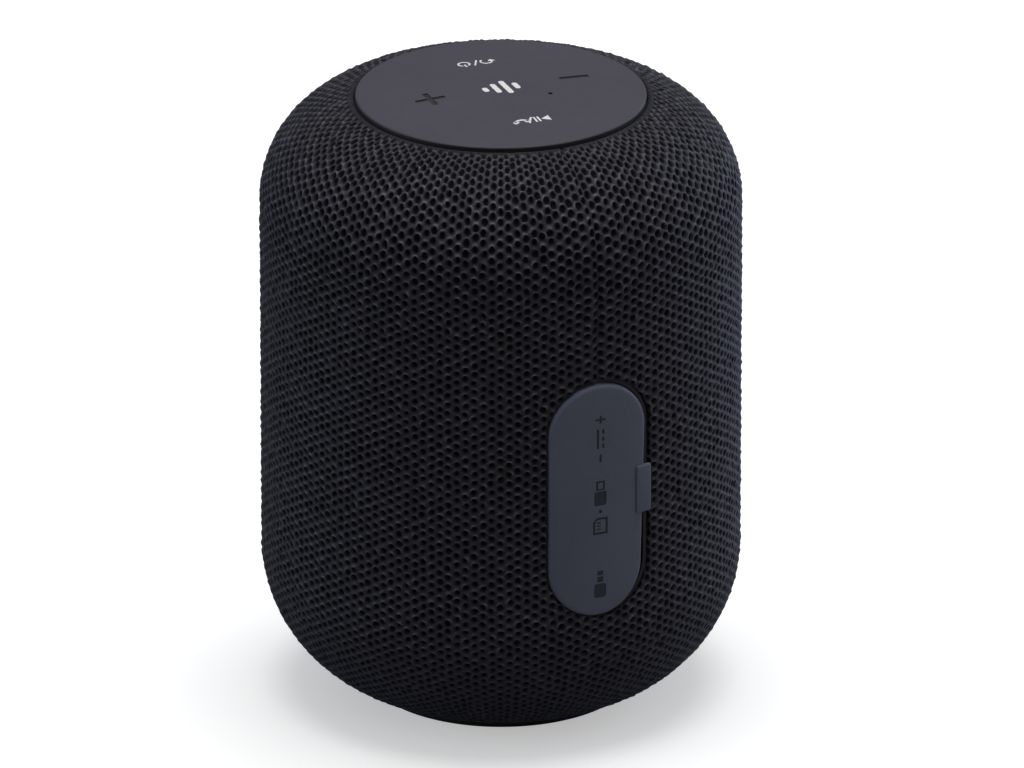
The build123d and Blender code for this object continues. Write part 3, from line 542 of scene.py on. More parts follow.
# the finish of every material slot: how it is made, its colour, and figures for the maker
SLOTS = {
    # the fabric's second colour is the holes': the darker layer under the knit, with painted shade
    "mesh_fabric": (mesh_fabric, (0.0200, 0.0195, 0.0262), (0.0092, 0.0090, 0.0115)),
    "housing_plastic": (moulded, (0.008, 0.008, 0.0085), 0.6),
    "pad_rubber": (silicone, (0.0436, 0.0408, 0.059)),
    "cover_rubber": (silicone, (0.089, 0.102, 0.140)),
    "foot_rubber": (silicone, (0.012, 0.012, 0.012), 0.4),
    "gasket_foam": (pressed_paper, (0.02, 0.02, 0.02)),
    "board_green": (circuit_board, (0.012, 0.09, 0.035), (0.03, 0.20, 0.07)),
    "chip_epoxy": (moulded, (0.012, 0.012, 0.013), 0.5, 0.2),
    "connector_black": (moulded, (0.015, 0.015, 0.016), 0.35, 0.5),
    "connector_white": (moulded, (0.72, 0.70, 0.64), 0.35, 0.5),
    "socket_steel": (metal, (0.68, 0.67, 0.65), 0.22),
    "screw_steel": (metal, (0.42, 0.42, 0.44), 0.35, (1, 1, 4)),
    "can_aluminium": (metal, (0.75, 0.75, 0.77), 0.3),
    "cell_foil": (pouch_foil, (0.55, 0.55, 0.57)),
    "wire_red": (moulded, (0.42, 0.012, 0.012), 0.4, 0.8),
    "wire_black": (moulded, (0.013, 0.013, 0.013), 0.4, 0.8),
    "basket_steel": (moulded, (0.015, 0.015, 0.016), 0.35, 0.6),
    "plated_steel": (metal, (0.5, 0.5, 0.48), 0.3, (6, 6, 1)),
    "ferrite": (sintered, (0.05, 0.05, 0.055)),
    "cone_paper": (pressed_paper, (0.02, 0.02, 0.021)),
    "coil_copper": (wound_copper, (0.45, 0.18, 0.07)),
    "surround_rubber": (silicone, (0.012, 0.012, 0.012), 0.5),
    "spider_cloth": (pressed_paper, (0.42, 0.28, 0.08)),
    "lamp": (moulded, (0.8, 0.8, 0.75), 0.15, 0.6),
}
FINISHES = {name: make(name, *figures) for name, (make, *figures) in SLOTS.items()}
INK = printed_ink("printed_ink", (0.80, 0.80, 0.80))
# painted shade for the floors of the sunk signs on the pad and the cover
PAD_SIGN_SHADE = painted_shade_floor("pad_sunk", (0.012, 0.012, 0.014))
PAD_RIM = silicone("pad_rim", (0.004, 0.004, 0.005))
COVER_SIGN_SHADE = painted_shade_floor("cover_sunk", (0.017, 0.021, 0.032))


# ---------- knitted mesh sleeve
COLUMNS = 174
CELL_WIDTH = 2 * math.pi * BODY_RADIUS / COLUMNS
CELL_PITCH = CELL_WIDTH * 2 / math.sqrt(3)
SECTORS = 6
TOP_EDGE = 24.9             # radius where the fabric starts to roll in beside the pad
TOP_ROLL = 0.45
TOP_WELT = 0.7              # width of the smooth folded edge round the pad
SHOULDER_PULL = 2.4         # how far the fabric is pulled over the shoulder
LOW_EDGE = 23.6             # radius where it starts to roll in beside the foot
LOW_ROLL = 0.5
TUCK = 1.3                  # length that goes down into each gap
OPENING_HALF = COVER_HALF + 0.75
OPENING_CORE = COVER_CORE - 0.3
OPENING_SHIFT = 0.55        # the fabric's opening sits a little towards the tab's side
OPENING_ROLL = 0.45
OPENING_SPARE = 0.9         # width of the fabric inside the opening, which is rolled in
FRONT_ANGLE = 0.6           # the opening lies within this angle of the front
FRONT_LENGTH = 62           # and within this length below the shoulder
SEAM_REACH = 1.7            # how far the seam draws in the loops beside it
SEAM_PULL = 0.34            # by what share it draws them in
SEAM_WIDTH = 0.46           # half width of its groove
SEAM_FADE = 10              # length over which it fades out above the base
ROW_WAVE = 0.10             # how far the rows wander up and down
# a cell is a hexagon, measured in sixths of a column and quarters of a row
HEXAGON = [(4, 0), (2, 2), (-2, 2), (-4, 0), (-2, -2), (2, -2)]
CELL_EDGE = []
for (u, v), (next_u, next_v) in zip(HEXAGON, HEXAGON[1:] + HEXAGON[:1]):
    CELL_EDGE += [(u, v), ((u + next_u) // 2, (v + next_v) // 2)]
# rings inside a cell, from the yarn inwards: distance from the hole's middle, height, how much the upper
# side is raised, darkness (painted shade down the hole's wall), and the painted highlight on the yarn's
# upper side
CELL_RINGS = [
    (0.70, -0.06, 0.15, 0.0, 1.0),
    (0.57, -0.14, 0.22, 0.1, 0.8),
    (0.46, -0.42, 0.10, 0.8, 0.1),
]
EDGE_RING = 0.9             # what the rings' distance would be at the cell's edge
EDGE_HEIGHT = -0.04
# painted highlight of the yarn at the cell's edge
EDGE_CROWN = 0.25
HOLE_WIDTH = 0.90           # the holes are a little narrower than tall
HOLE_HEIGHT = 1.04
HOLE_FLOOR = -0.54
SIDE_HOLES = 0.88           # size of the holes on the side against those on the shoulder
LOOP_SHIFT = 0.07           # how far a loop strays from its place
WELT_HEIGHT = 0.18
KEY_STEP = 10000            # joins a point's two whole numbers into one


def polar_point(centre, radius, angle):
    """A point on a circle in the (radius, z) plane."""
    return centre[0] + radius * math.cos(angle), centre[1] + radius * math.sin(angle)


def barrel_segments():
    """The barrel's outline from the pad's gap down to the foot's gap, as arcs and lines."""
    top_angle = math.acos((TOP_EDGE - SHOULDER_CENTRE[0]) / SHOULDER_RADIUS)
    low_angle = -math.acos((LOW_EDGE - BASE_CENTRE[0]) / BASE_RADIUS)
    top_centre = polar_point(SHOULDER_CENTRE, SHOULDER_RADIUS - TOP_ROLL, top_angle)
    low_centre = polar_point(BASE_CENTRE, BASE_RADIUS - LOW_ROLL, low_angle)
    top_start = polar_point(top_centre, TOP_ROLL, math.pi)
    low_end = polar_point(low_centre, LOW_ROLL, -math.pi)
    return [
        ("line", (top_start[0], top_start[1] - TUCK), top_start, math.pi),
        ("arc", top_centre, TOP_ROLL, math.pi, top_angle),
        ("arc", SHOULDER_CENTRE, SHOULDER_RADIUS, top_angle, 0.0),
        ("line", (BODY_RADIUS, SHOULDER_CENTRE[1]), (BODY_RADIUS, BASE_CENTRE[1]), 0.0),
        ("arc", BASE_CENTRE, BASE_RADIUS, 0.0, low_angle),
        ("arc", low_centre, LOW_ROLL, low_angle, -math.pi),
        ("line", low_end, (low_end[0], low_end[1] + TUCK), math.pi),
    ]


def segment_length(segment):
    """Length of one stretch of the outline."""
    if segment[0] == "line":
        return math.dist(segment[1], segment[2])
    return segment[2] * abs(segment[4] - segment[3])


SEGMENTS = barrel_segments()
OUTLINE_LENGTH = sum(segment_length(s) for s in SEGMENTS)
SHOULDER_START = sum(segment_length(s) for s in SEGMENTS[:2])
SIDE_START = sum(segment_length(s) for s in SEGMENTS[:3])
BASE_START = sum(segment_length(s) for s in SEGMENTS[:4])
ROWS = round(OUTLINE_LENGTH / CELL_PITCH)
QUARTER = OUTLINE_LENGTH / ROWS / 4         # a quarter of a row
SIXTH = math.pi / (3 * COLUMNS)             # a sixth of a column, in radians


def wrapped(around):
    """Angles from -pi to pi."""
    return np.where(around > math.pi, around - 2 * math.pi, around)


def pulled(run):
    """The rows lie wider apart over the shoulder and a little closer on the side."""
    return run + np.interp(run, [0, SIDE_START, OUTLINE_LENGTH], [0, SHOULDER_PULL, 0])


def on_barrel(run, height):
    """Radius and z at a distance along the outline, raised off it by a height."""
    radius = np.zeros_like(run)
    z = np.zeros_like(run)
    start = 0.0
    for segment in SEGMENTS:
        length = segment_length(segment)
        here = (run >= start - 1e-6) & (run <= start + length + 1e-6)
        part = np.clip((run[here] - start) / length, 0, 1)
        if segment[0] == "line":
            angle = np.full_like(part, segment[3])
            base_r = segment[1][0] + part * (segment[2][0] - segment[1][0])
            base_z = segment[1][1] + part * (segment[2][1] - segment[1][1])
            reach = height[here]
        else:
            angle = segment[3] + part * (segment[4] - segment[3])
            base_r = np.full_like(part, segment[1][0])
            base_z = np.full_like(part, segment[1][1])
            reach = segment[2] + height[here]
        radius[here] = base_r + reach * np.cos(angle)
        z[here] = base_z + reach * np.sin(angle)
        start += length
    return radius, z


def opening_distance(x, z):
    """Distance outside the pill-shaped opening, and the direction away from it."""
    dz = (z - PORT_Z) - np.clip(z - PORT_Z, -OPENING_CORE, OPENING_CORE)
    reach = np.maximum(np.hypot(x, dz), 1e-6)
    return reach - OPENING_HALF, x / reach, dz / reach


def wrap_opening(around, run, height):
    """Rolls the fabric in at the port cover's opening."""
    x = BODY_RADIUS * np.sin(around)
    z = SHOULDER_CENTRE[1] - (run - SIDE_START)
    distance, away_x, away_z = opening_distance(x - OPENING_SHIFT, z)
    front = (np.abs(around) < FRONT_ANGLE) & (run > SIDE_START) & (run < SIDE_START + FRONT_LENGTH)
    past = OPENING_ROLL - distance
    rolled = front & (past > 0)
    turn = np.minimum(past[rolled] / OPENING_ROLL, math.pi / 2)
    new_distance = OPENING_ROLL * (1 - np.sin(turn))
    sunk = OPENING_ROLL * (1 - np.cos(turn)) + np.maximum(past[rolled] - OPENING_ROLL * math.pi / 2, 0)
    shift = new_distance - distance[rolled]
    x[rolled] += shift * away_x[rolled] + height[rolled] * away_x[rolled] * -np.sin(turn)
    z[rolled] += shift * away_z[rolled] + height[rolled] * away_z[rolled] * -np.sin(turn)
    around = around.copy()
    run = run.copy()
    height = height.copy()
    around[rolled] = np.arcsin(x[rolled] / BODY_RADIUS)
    run[rolled] = SIDE_START + SHOULDER_CENTRE[1] - z[rolled]
    height[rolled] = height[rolled] * np.cos(turn) - sunk
    return around, run, height


def sew_seam(around, run, height):
    """Draws the fabric into the seam above and below the port cover."""
    across = BODY_RADIUS * around
    fade = BASE_START - SEAM_FADE
    near = np.exp(-(across / SEAM_REACH) ** 2) * np.interp(run, [fade, BASE_START], [1.0, 0.3])
    drift = 0.10 * np.sin(run / 2.3) * near
    across = across * (1 - SEAM_PULL * near) + drift
    places = [SIDE_START - 6, SIDE_START + 4, fade, BASE_START]
    deep = np.interp(run, places, [0.30, 0.52, 0.52, 0.12])
    groove = deep * np.exp(-((across - drift) / SEAM_WIDTH) ** 2)
    return across / BODY_RADIUS, height - groove


def fabric_cells():
    """Middles of the cells outside the opening, in sixths of a column and quarters of a row."""
    column, row = np.meshgrid(np.arange(COLUMNS), np.arange(ROWS + 1), indexing="ij")
    across = 6 * column.ravel()
    down = 4 * row.ravel() + 2 * (column.ravel() % 2)
    inside = (down >= 2) & (down <= 4 * ROWS - 2)
    around = wrapped((across + 3) * SIXTH)
    z = SHOULDER_CENTRE[1] - (pulled(down * QUARTER) - SIDE_START)
    distance = opening_distance(BODY_RADIUS * np.sin(around) - OPENING_SHIFT, z)[0]
    keep = inside & ~((np.abs(around) < FRONT_ANGLE) & (distance < -OPENING_SPARE))
    return across[keep], down[keep]


def shared_edges(across, down):
    """The points that neighbouring cells share, and which twelve of them lie round each cell."""
    steps = np.array(CELL_EDGE)
    edge_u = (across[:, None] + steps[:, 0]) % (6 * COLUMNS)
    edge_v = down[:, None] + steps[:, 1]
    keys, edge = np.unique(edge_u * KEY_STEP + edge_v, return_inverse=True)
    return keys // KEY_STEP, keys % KEY_STEP, edge.reshape(-1, 12)


def knit_points(across, down, edge_u, edge_v):
    """Every point of the flat knit: its place, height, darkness (painted shade down the holes, and the
    darker layer under the knit at their floors), ring and painted highlight on the upper side.
    """
    cells = len(across)
    edges = len(edge_u)
    parts = [(
        (edge_u + 3) * SIXTH,
        edge_v * QUARTER,
        EDGE_HEIGHT + rng.normal(0, 0.02, edges),
        np.zeros(edges),
        np.full(edges, EDGE_RING),
        np.full(edges, EDGE_CROWN),
    )]
    around = (across + 3) * SIXTH + rng.normal(0, LOOP_SHIFT, cells) / BODY_RADIUS
    run = down * QUARTER + rng.normal(0, LOOP_SHIFT, cells)
    drawn = np.interp(down * QUARTER, [SIDE_START - 8, SIDE_START + 8], [1.0, SIDE_HOLES])[:, None]
    size = np.clip(1 + rng.normal(0, 0.07, (cells, 1)), 0.82, 1.12) * drawn
    wobble = rng.normal(0, 0.08, (cells, 12))
    wobble = (wobble + np.roll(wobble, 1, axis=1) + np.roll(wobble, 2, axis=1)) / 2
    lift = rng.normal(0, 0.03, (cells, 1))
    steps = np.array(CELL_EDGE)
    turn = np.arctan2(steps[:, 1] * QUARTER, steps[:, 0] * SIXTH * BODY_RADIUS)
    upward = -np.sin(turn + rng.normal(0, 0.35, (cells, 1)))
    loop = np.clip(1 + rng.normal(0, 0.3, (cells, 1)), 0.3, 1.4)
    loop = loop * np.interp(down * QUARTER, [BASE_START, BASE_START + 12], [1.0, 0.6])[:, None]
    for distance, level, arch, dark, light in CELL_RINGS:
        reach = distance * size + wobble * (EDGE_RING - distance) * 2
        parts.append((
            (around[:, None] + HOLE_WIDTH * reach * np.cos(turn) / BODY_RADIUS).ravel(),
            (run[:, None] + HOLE_HEIGHT * reach * np.sin(turn)).ravel(),
            (level + lift + arch * upward * loop).ravel(),
            np.full(cells * 12, dark),
            np.full(cells * 12, distance),
            # painted highlight: lighter where the loop faces upwards, to the light overhead
            (light * np.maximum(upward, 0) ** 1.5 * loop * drawn ** 2).ravel(),
        ))
    # the hole's floor is fully dark: the darker layer under the knit, with painted shade
    parts.append((around, run, np.full(cells, HOLE_FLOOR), np.ones(cells), np.zeros(cells), np.zeros(cells)))
    return [np.concatenate(values) for values in zip(*parts)]


def laid_on_barrel(around, run, height):
    """Points of the flat knit on the barrel, and how much of its relief is left at each."""
    run = pulled(run)
    relief = np.clip((run - SHOULDER_START - TOP_WELT + 0.6) / 0.9, 0, 1)
    height = height * relief + WELT_HEIGHT * (1 - relief) * (run < SIDE_START)
    around, height = sew_seam(wrapped(around), run, height)
    run = np.clip(run + ROW_WAVE * np.sin(3 * around + run / 9), 0, OUTLINE_LENGTH)
    around, run, height = wrap_opening(around, run, height)
    radius, z = on_barrel(run, height)
    return np.stack([radius * np.sin(around), -radius * np.cos(around), z], axis=1), relief


def cell_faces(edge):
    """Each cell's faces: three bands of quads from the yarn inwards, and triangles over the hole."""
    cells = len(edge)
    first = edge.max() + 1
    rings = [edge, *(first + 12 * np.arange(3 * cells).reshape(3, cells, 1) + np.arange(12))]
    following = np.roll(np.arange(12), -1)
    quads = [np.stack([outer, inner, inner[:, following], outer[:, following]], axis=2)
             for outer, inner in zip(rings, rings[1:])]
    middle = np.repeat((first + 3 * 12 * cells + np.arange(cells))[:, None], 12, axis=1)
    triangles = np.stack([rings[3], middle, rings[3][:, following]], axis=2)
    return np.concatenate(quads, axis=1), triangles


def vertex_normals(points, quads, triangles):
    """Area-weighted normals, so that the sleeve's sectors shade as one piece."""
    normals = np.zeros_like(points)
    for faces in (quads, triangles):
        corners = points[faces]
        face_normals = np.cross(corners[:, 1] - corners[:, 0], corners[:, 2] - corners[:, 0])
        for k in range(faces.shape[1]):
            np.add.at(normals, faces[:, k], face_normals)
    return normals / np.maximum(np.linalg.norm(normals, axis=1, keepdims=True), 1e-9)


def fabric_sector(number, points, normals, quads, triangles, marks):
    """One sector of the sleeve as a piece of its own."""
    quads = quads.reshape(-1, 4)
    triangles = triangles.reshape(-1, 3)
    used, renamed = np.unique(np.concatenate([quads.ravel(), triangles.ravel()]), return_inverse=True)
    mesh = mesh_from_arrays(
        f"fabric_mesh_{number}",
        points[used],
        renamed[:quads.size].reshape(-1, 4),
        renamed[quads.size:].reshape(-1, 3),
    )
    for name, values in marks.items():
        attribute = mesh.attributes.new(name, "FLOAT", "POINT")
        attribute.data.foreach_set("value", values[used].astype(np.float32))
    mesh.normals_split_custom_set_from_vertices(normals[used].tolist())
    piece = new_piece(mesh.name, mesh, "mesh_fabric", "casing")
    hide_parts("fabric_sleeve")


def fabric_sleeve():
    """The mesh fabric: one small loop of yarn round each of its holes, in sectors."""
    across, down = fabric_cells()
    edge_u, edge_v, edge = shared_edges(across, down)
    around, run, height, depth, ring, crown = knit_points(across, down, edge_u, edge_v)
    points, relief = laid_on_barrel(around, run, height)
    marks = {"depth": depth * relief, "ring": ring, "crown": crown * relief}
    quads, triangles = cell_faces(edge)
    normals = vertex_normals(points, quads.reshape(-1, 4), triangles.reshape(-1, 3))
    sector = across // (6 * COLUMNS // SECTORS)
    for number in range(SECTORS):
        here = sector == number
        fabric_sector(number + 1, points, normals, quads[here], triangles[here], marks)


fabric_sleeve()


# ---------- key pad
PAD_EDGE = 0.32
PAD_TURN = math.radians(-2.5)   # the pad sits turned by this against the port cover
SIGN_DEPTH = 0.28
SIGN_CORNER = 0.12
SIGN_SHIFTS = {"plus": (0.9, 0.0), "minus": (-0.1, 0.8), "play": (0.0, -1.0), "power": (-0.3, -0.9)}
INK_THICKNESS = 0.03
INK_SUNK = 0.005            # how far the ink reaches into the rubber
PINHOLE = (6.6, -5.3)       # the microphone's hole


def pad_height(x, y):
    """Height of the pad's domed top."""
    return PAD_TOP - PAD_DOME * (x * x + y * y) / PAD_RADIUS**2


def pad_outline():
    """The pad's section from the middle of its top, round its edge, to the middle underneath."""
    rings = 44
    flat = PAD_RADIUS - PAD_EDGE
    outline = [(flat * k / rings, pad_height(flat * k / rings, 0)) for k in range(rings + 1)]
    edge_z = pad_height(flat, 0) - PAD_EDGE
    for k in range(1, 7):
        angle = math.pi / 2 * (1 - k / 6)
        outline.append((flat + PAD_EDGE * math.cos(angle), edge_z + PAD_EDGE * math.sin(angle)))
    low = PAD_LOW.z + 0.02
    outline += [(PAD_RADIUS, low + 0.25), (PAD_RADIUS - 0.25, low)]
    outline += [(flat * k / 6, low) for k in range(6, -1, -1)]
    return outline


def on_pad(name, x, y):
    """A place on the pad for a point of a sign; signs stand upright for someone on the +Y side."""
    middle = KEY_PLACES[name] + Vector((*SIGN_SHIFTS[name], 0)) if name else Vector((0, 0, 0))
    turned_x = x * math.cos(PAD_TURN) - y * math.sin(PAD_TURN)
    turned_y = x * math.sin(PAD_TURN) + y * math.cos(PAD_TURN)
    return middle.x - turned_x, middle.y - turned_y


def pad_sign(name, outlines, key, body):
    """White ink on the pad."""
    def place(x, y, depth):
        px, py = on_pad(key, x, y)
        return px, py, pad_height(px, py) + depth + INK_THICKNESS / 2 - INK_SUNK
    mesh = slab(name, outlines, INK_THICKNESS, place)
    new_piece(name, mesh, "pad_rubber", body, INK)


def sunk_sign(key, bars):
    """Cutters for a sign sunk in the pad."""
    def place(x, y, depth):
        px, py = on_pad(key, x, y)
        return px, py, pad_height(px, py) + 0.5 + depth
    thickness = 1.0 + 2 * SIGN_DEPTH
    return [slab("cutter", [bar(0, 0, *sides, SIGN_CORNER)], thickness, place) for sides in bars]


SUNK_SIGNS = {"plus": [(5.2, 1.0), (1.0, 5.2)], "minus": [(5.2, 1.0)]}


def button_pad():
    """The pad in four quarters, one for each key."""
    mesh = turned("pad", pad_outline(), 160)
    whole = new_piece("pad", mesh, "pad_rubber")
    whole.data.materials.append(PAD_RIM)            # darker, for every face that doesn't look upwards
    for face in whole.data.polygons:
        if face.normal.z < 0.2:
            face.material_index = 1
    for key, bars in SUNK_SIGNS.items():
        carve(whole, sunk_sign(key, bars))
    pinhole = slab(
        "pinhole", [disc(*PINHOLE, 0.42, 20)], 6.0, lambda x, y, depth: (x, y, PAD_TOP + depth)
    )
    carve(whole, [pinhole])
    for key, place in KEY_PLACES.items():
        work = bmesh.new()
        work.from_mesh(whole.data)
        direction = Vector((place.x, place.y)).normalized()
        away = [f for f in work.faces if not in_quarter(f.calc_center_median(), direction)]
        bmesh.ops.delete(work, geom=away, context="FACES")
        mesh = bpy.data.meshes.new("pad_" + key)
        work.to_mesh(mesh)
        work.free()
        piece = new_piece("pad_" + key, mesh, "pad_rubber")
        piece.data.materials.append(PAD_RIM)
        smooth_by_angle(piece, 30)
        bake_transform(piece)
        soften(piece)
        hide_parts("button_pad", "key_" + key)
        if key in SUNK_SIGNS:
            sign_floor(key)
    bpy.data.objects.remove(whole)


def in_quarter(point, direction):
    """Whether a point lies within 45 degrees of a direction."""
    along = point.x * direction.x + point.y * direction.y
    across = -point.x * direction.y + point.y * direction.x
    return along > 0 and -along <= across < along


def soften(piece):
    """Reads a piece's points in millimetres, and does nothing more with them."""
    count = len(piece.data.vertices)
    points = np.empty(count * 3, np.float32)
    piece.data.vertices.foreach_get("co", points)
    points = points.reshape(-1, 3) / MM


def sign_floor(key):
    """Painted shade: a dark sheet on the floor of a sunk sign."""
    bars = SUNK_SIGNS[key]
    outline = [bar(0, 0, *bars[0], SIGN_CORNER)]
    if len(bars) > 1:
        outline = [cross_outline(bars[0][0] / 2, bars[0][1] / 2)]

    def place(x, y, depth):
        px, py = on_pad(key, x, y)
        return px, py, pad_height(px, py) - SIGN_DEPTH + 0.06 + depth
    mesh = slab("sunk_" + key, outline, 0.08, place)
    new_piece("sunk_" + key, mesh, "pad_rubber", key + "_key", PAD_SIGN_SHADE)


def cross_outline(reach, half):
    """A plus sign."""
    return [(-half, -reach), (half, -reach), (half, -half), (reach, -half), (reach, half), (half, half),
            (half, reach), (-half, reach), (-half, half), (-reach, half), (-reach, -half), (-half, -half)]


button_pad()
pad_sign("power_sign", power_sign(), "power", "power_key")
pad_sign("play_sign", play_sign(), "play", "play_key")
pad_sign("equaliser_mark", equaliser_mark(), None, "casing")


# ---------- port cover
COVER_EDGE = 0.6            # rounding of the cover's outer edge
COVER_CROWN = 0.10          # how much its middle stands above its edge
COVER_TAPER = 0.68          # how much narrower the cover is at its lower end, on the tab's side
COVER_BACK = 38.2           # radius where the cover's rim ends
COVER_SKIN = 1.3
COVER_RIM = 1.2
PLUG_DEPTH = 37.2           # how far in the cover's plugs reach
TAB_WIDTH = 2.9
TAB_HEIGHT = 8.4
TAB_Z = PORT_Z + 0.7
TAB_RISE = 0.45             # how far the tab stands out of the cover
SIGN_SCALE = 1.15
COVER_SIGN_DEPTH = 0.16


def face_y(x, radius):
    """The -Y side of a cylinder about the barrel's axis."""
    return -math.sqrt(radius * radius - x * x)


def pill_ring(reach, radius, count):
    """Points round a pill of this half width, laid on a cylinder of this radius."""
    points = []
    for k in range(count):
        angle = 2 * math.pi * (k + 0.5) / count
        x = reach * math.cos(angle)
        core = COVER_CORE
        if math.sin(angle) < 0:
            core = -COVER_CORE
            x -= COVER_TAPER * (x + COVER_HALF) / (2 * COVER_HALF)
        points.append((x, face_y(x, radius), PORT_Z + core + reach * math.sin(angle)))
    return points


def cover_section():
    """Half width and radius of each ring of the cover, from its middle over the edge to its back."""
    flat = COVER_HALF - COVER_EDGE
    steps = 8
    section = [(max(flat * k / steps, 0.01), COVER_FACE + COVER_CROWN * (1 - (k / steps) ** 2))
               for k in range(steps + 1)]
    edge = COVER_FACE - COVER_EDGE
    for k in range(1, 6):
        angle = math.pi / 2 * k / 5
        section.append((flat + COVER_EDGE * math.sin(angle), edge + COVER_EDGE * math.cos(angle)))
    hollow = COVER_HALF - COVER_RIM
    inside = COVER_FACE - COVER_SKIN
    section += [(COVER_HALF, COVER_BACK + 0.3), (COVER_HALF - 0.3, COVER_BACK), (hollow, COVER_BACK)]
    return section + [(hollow, inside), (hollow / 2, inside), (0.01, inside)]


def cover_shell():
    """The curved cover with a rounded edge and a hollow back."""
    return skinned("port_cover_skin", [pill_ring(*ring, 96) for ring in cover_section()])


def rounded_block(name, low, high, corner, bend=None):
    """A box with rounded edges; bend may move its points."""
    mesh = bpy.data.meshes.new(name)
    work = bmesh.new()
    bmesh.ops.create_cube(work, size=1.0)
    for vertex in work.verts:
        for axis in range(3):
            vertex.co[axis] = low[axis] if vertex.co[axis] < 0 else high[axis]
    bmesh.ops.bevel(work, geom=list(work.edges), offset=corner, segments=4, profile=0.5, affect="EDGES")
    for vertex in work.verts:
        if bend is not None:
            vertex.co = Vector(bend(*vertex.co))
        vertex.co *= MM
    bmesh.ops.recalc_face_normals(work, faces=work.faces)
    work.to_mesh(mesh)
    work.free()
    return mesh


def round_plug(x, z, radius, y0, y1):
    """A round plug along Y with a softened inner end."""
    angles = [2 * math.pi * k / 32 for k in range(32)]
    rings = [[(x + r * math.cos(a), y, z + r * math.sin(a)) for a in angles]
             for r, y in ((radius, y0), (radius, y1 - 0.3), (radius - 0.3, y1))]
    return skinned("plug", rings)


def cover_tab():
    """The pull tab, and the groove beside it."""
    right = COVER_HIGH.x
    left = right - TAB_WIDTH
    low = TAB_Z - TAB_HEIGHT / 2
    high = TAB_Z + TAB_HEIGHT / 2
    foot = BODY_RADIUS + 0.2                    # the tab lies just clear of the fabric
    rise = COVER_FACE + TAB_RISE - foot
    tab = rounded_block("tab", (left, 0, low), (right, 1, high), 0.36,
                        lambda x, y, z: (x, face_y(x, foot + y * rise), z))
    groove = rounded_block("groove", (left - 0.38, 0, low - 0.2), (left, 1, high + 0.2), 0.1,
                           lambda x, y, z: (x, face_y(x, COVER_FACE - 0.16 + y), z))
    return tab, groove


def cover_plugs():
    """Short plugs on the cover's back that meet the sockets."""
    root_y = -COVER_FACE + 0.9
    plugs = []
    for node, width, height in (("usb_tongue", 4.0, 11.6), ("dc_socket", 1.4, 6.4)):
        low, high = cad_box(node)
        middle = (low + high) / 2
        if node == "usb_tongue":
            middle.x += 0.9
        corner = Vector((width / 2, 0, height / 2))
        low = middle - corner
        high = middle + corner
        plugs.append(rounded_block("plug", (low.x, root_y, low.z), (high.x, -PLUG_DEPTH, high.z), 0.3))
    low, high = cad_box("aux_jack")
    middle = (low + high) / 2
    return plugs + [round_plug(middle.x, middle.z, 2.4, root_y, low.y - 0.1)]


def cover_sign(name, outlines, z, depth, thickness):
    """A sign laid on the cover; signs read upwards, with their tops towards -X."""
    def place(x, y, d):
        across = -y * SIGN_SCALE
        return across, face_y(across, COVER_FACE + COVER_CROWN + depth + d), z + x * SIGN_SCALE
    return slab(name, outlines, thickness, place)


COVER_SIGNS = {"plug": (plug_sign, -14.2), "card": (card_sign, -1.1), "current": (current_sign, 11.1)}


def port_cover():
    """The rubber cover with its pull tab, plugs and sunk signs."""
    cover = new_piece("port_cover_skin", cover_shell(), "cover_rubber")
    tab, groove = cover_tab()
    carve(cover, [tab], "UNION")
    carve(cover, [groove])
    carve(cover, cover_plugs(), "UNION")
    for name, (outline, offset) in COVER_SIGNS.items():
        z = PORT_Z + offset
        carve(cover, [cover_sign("cutter", outline(), z, 0, 2 * COVER_SIGN_DEPTH)])
        # a dark sheet of painted shade on the floor of each sunk sign
        floor = cover_sign("cover_" + name, outline(), z, 0.03 - COVER_SIGN_DEPTH, 0.06)
        new_piece("cover_" + name, floor, "cover_rubber", "cover", COVER_SIGN_SHADE)
    smooth_by_angle(cover, 32)
    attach(cover, "cover")
    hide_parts("port_cover")


port_cover()


STRAP_THICKNESS = 0.24
# the strap's middle line from its root: along X from the root, and Y
STRAP_PATH = [(0, -37.7), (0, -38.1), (0.12, -38.4), (0.3, -38.55), (0.48, -38.6), (0.65, -38.5)]


def cover_strap():
    """The thin strap that ties the cover to its root in the panel."""
    root_x = (ANCHOR_LOW.x + ANCHOR_HIGH.x) / 2
    path = [(root_x + x, y) for x, y in STRAP_PATH]
    half_height = (ANCHOR_HIGH.z - ANCHOR_LOW.z) / 2 - 0.3
    section = [(half_height * side * part, STRAP_THICKNESS / 2 * side)
               for side in (1, -1) for part in (-1, -0.5, 0, 0.5, 1)]
    rings = []
    for i, (x, y) in enumerate(path):
        before = path[max(i - 1, 0)]
        after = path[min(i + 1, len(path) - 1)]
        length = math.dist(before, after)
        normal_x = (before[1] - after[1]) / length
        normal_y = (after[0] - before[0]) / length
        rings.append([(x + normal_x * out, y + normal_y * out, PORT_Z + up) for up, out in section])
    mesh = skinned("cover_strap", rings)
    piece = new_piece("cover_strap", mesh, "cover_rubber")
    smooth_by_angle(piece, 50)
    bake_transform(piece)


cover_strap()


# ---------- foot
GROOVES = 5
GROOVE_START = 14.9         # radius of the innermost groove
GROOVE_PITCH = 1.25
GROOVE_DEPTH = 0.28
FOOT_DISH = 0.75            # how far the foot's middle is hollowed


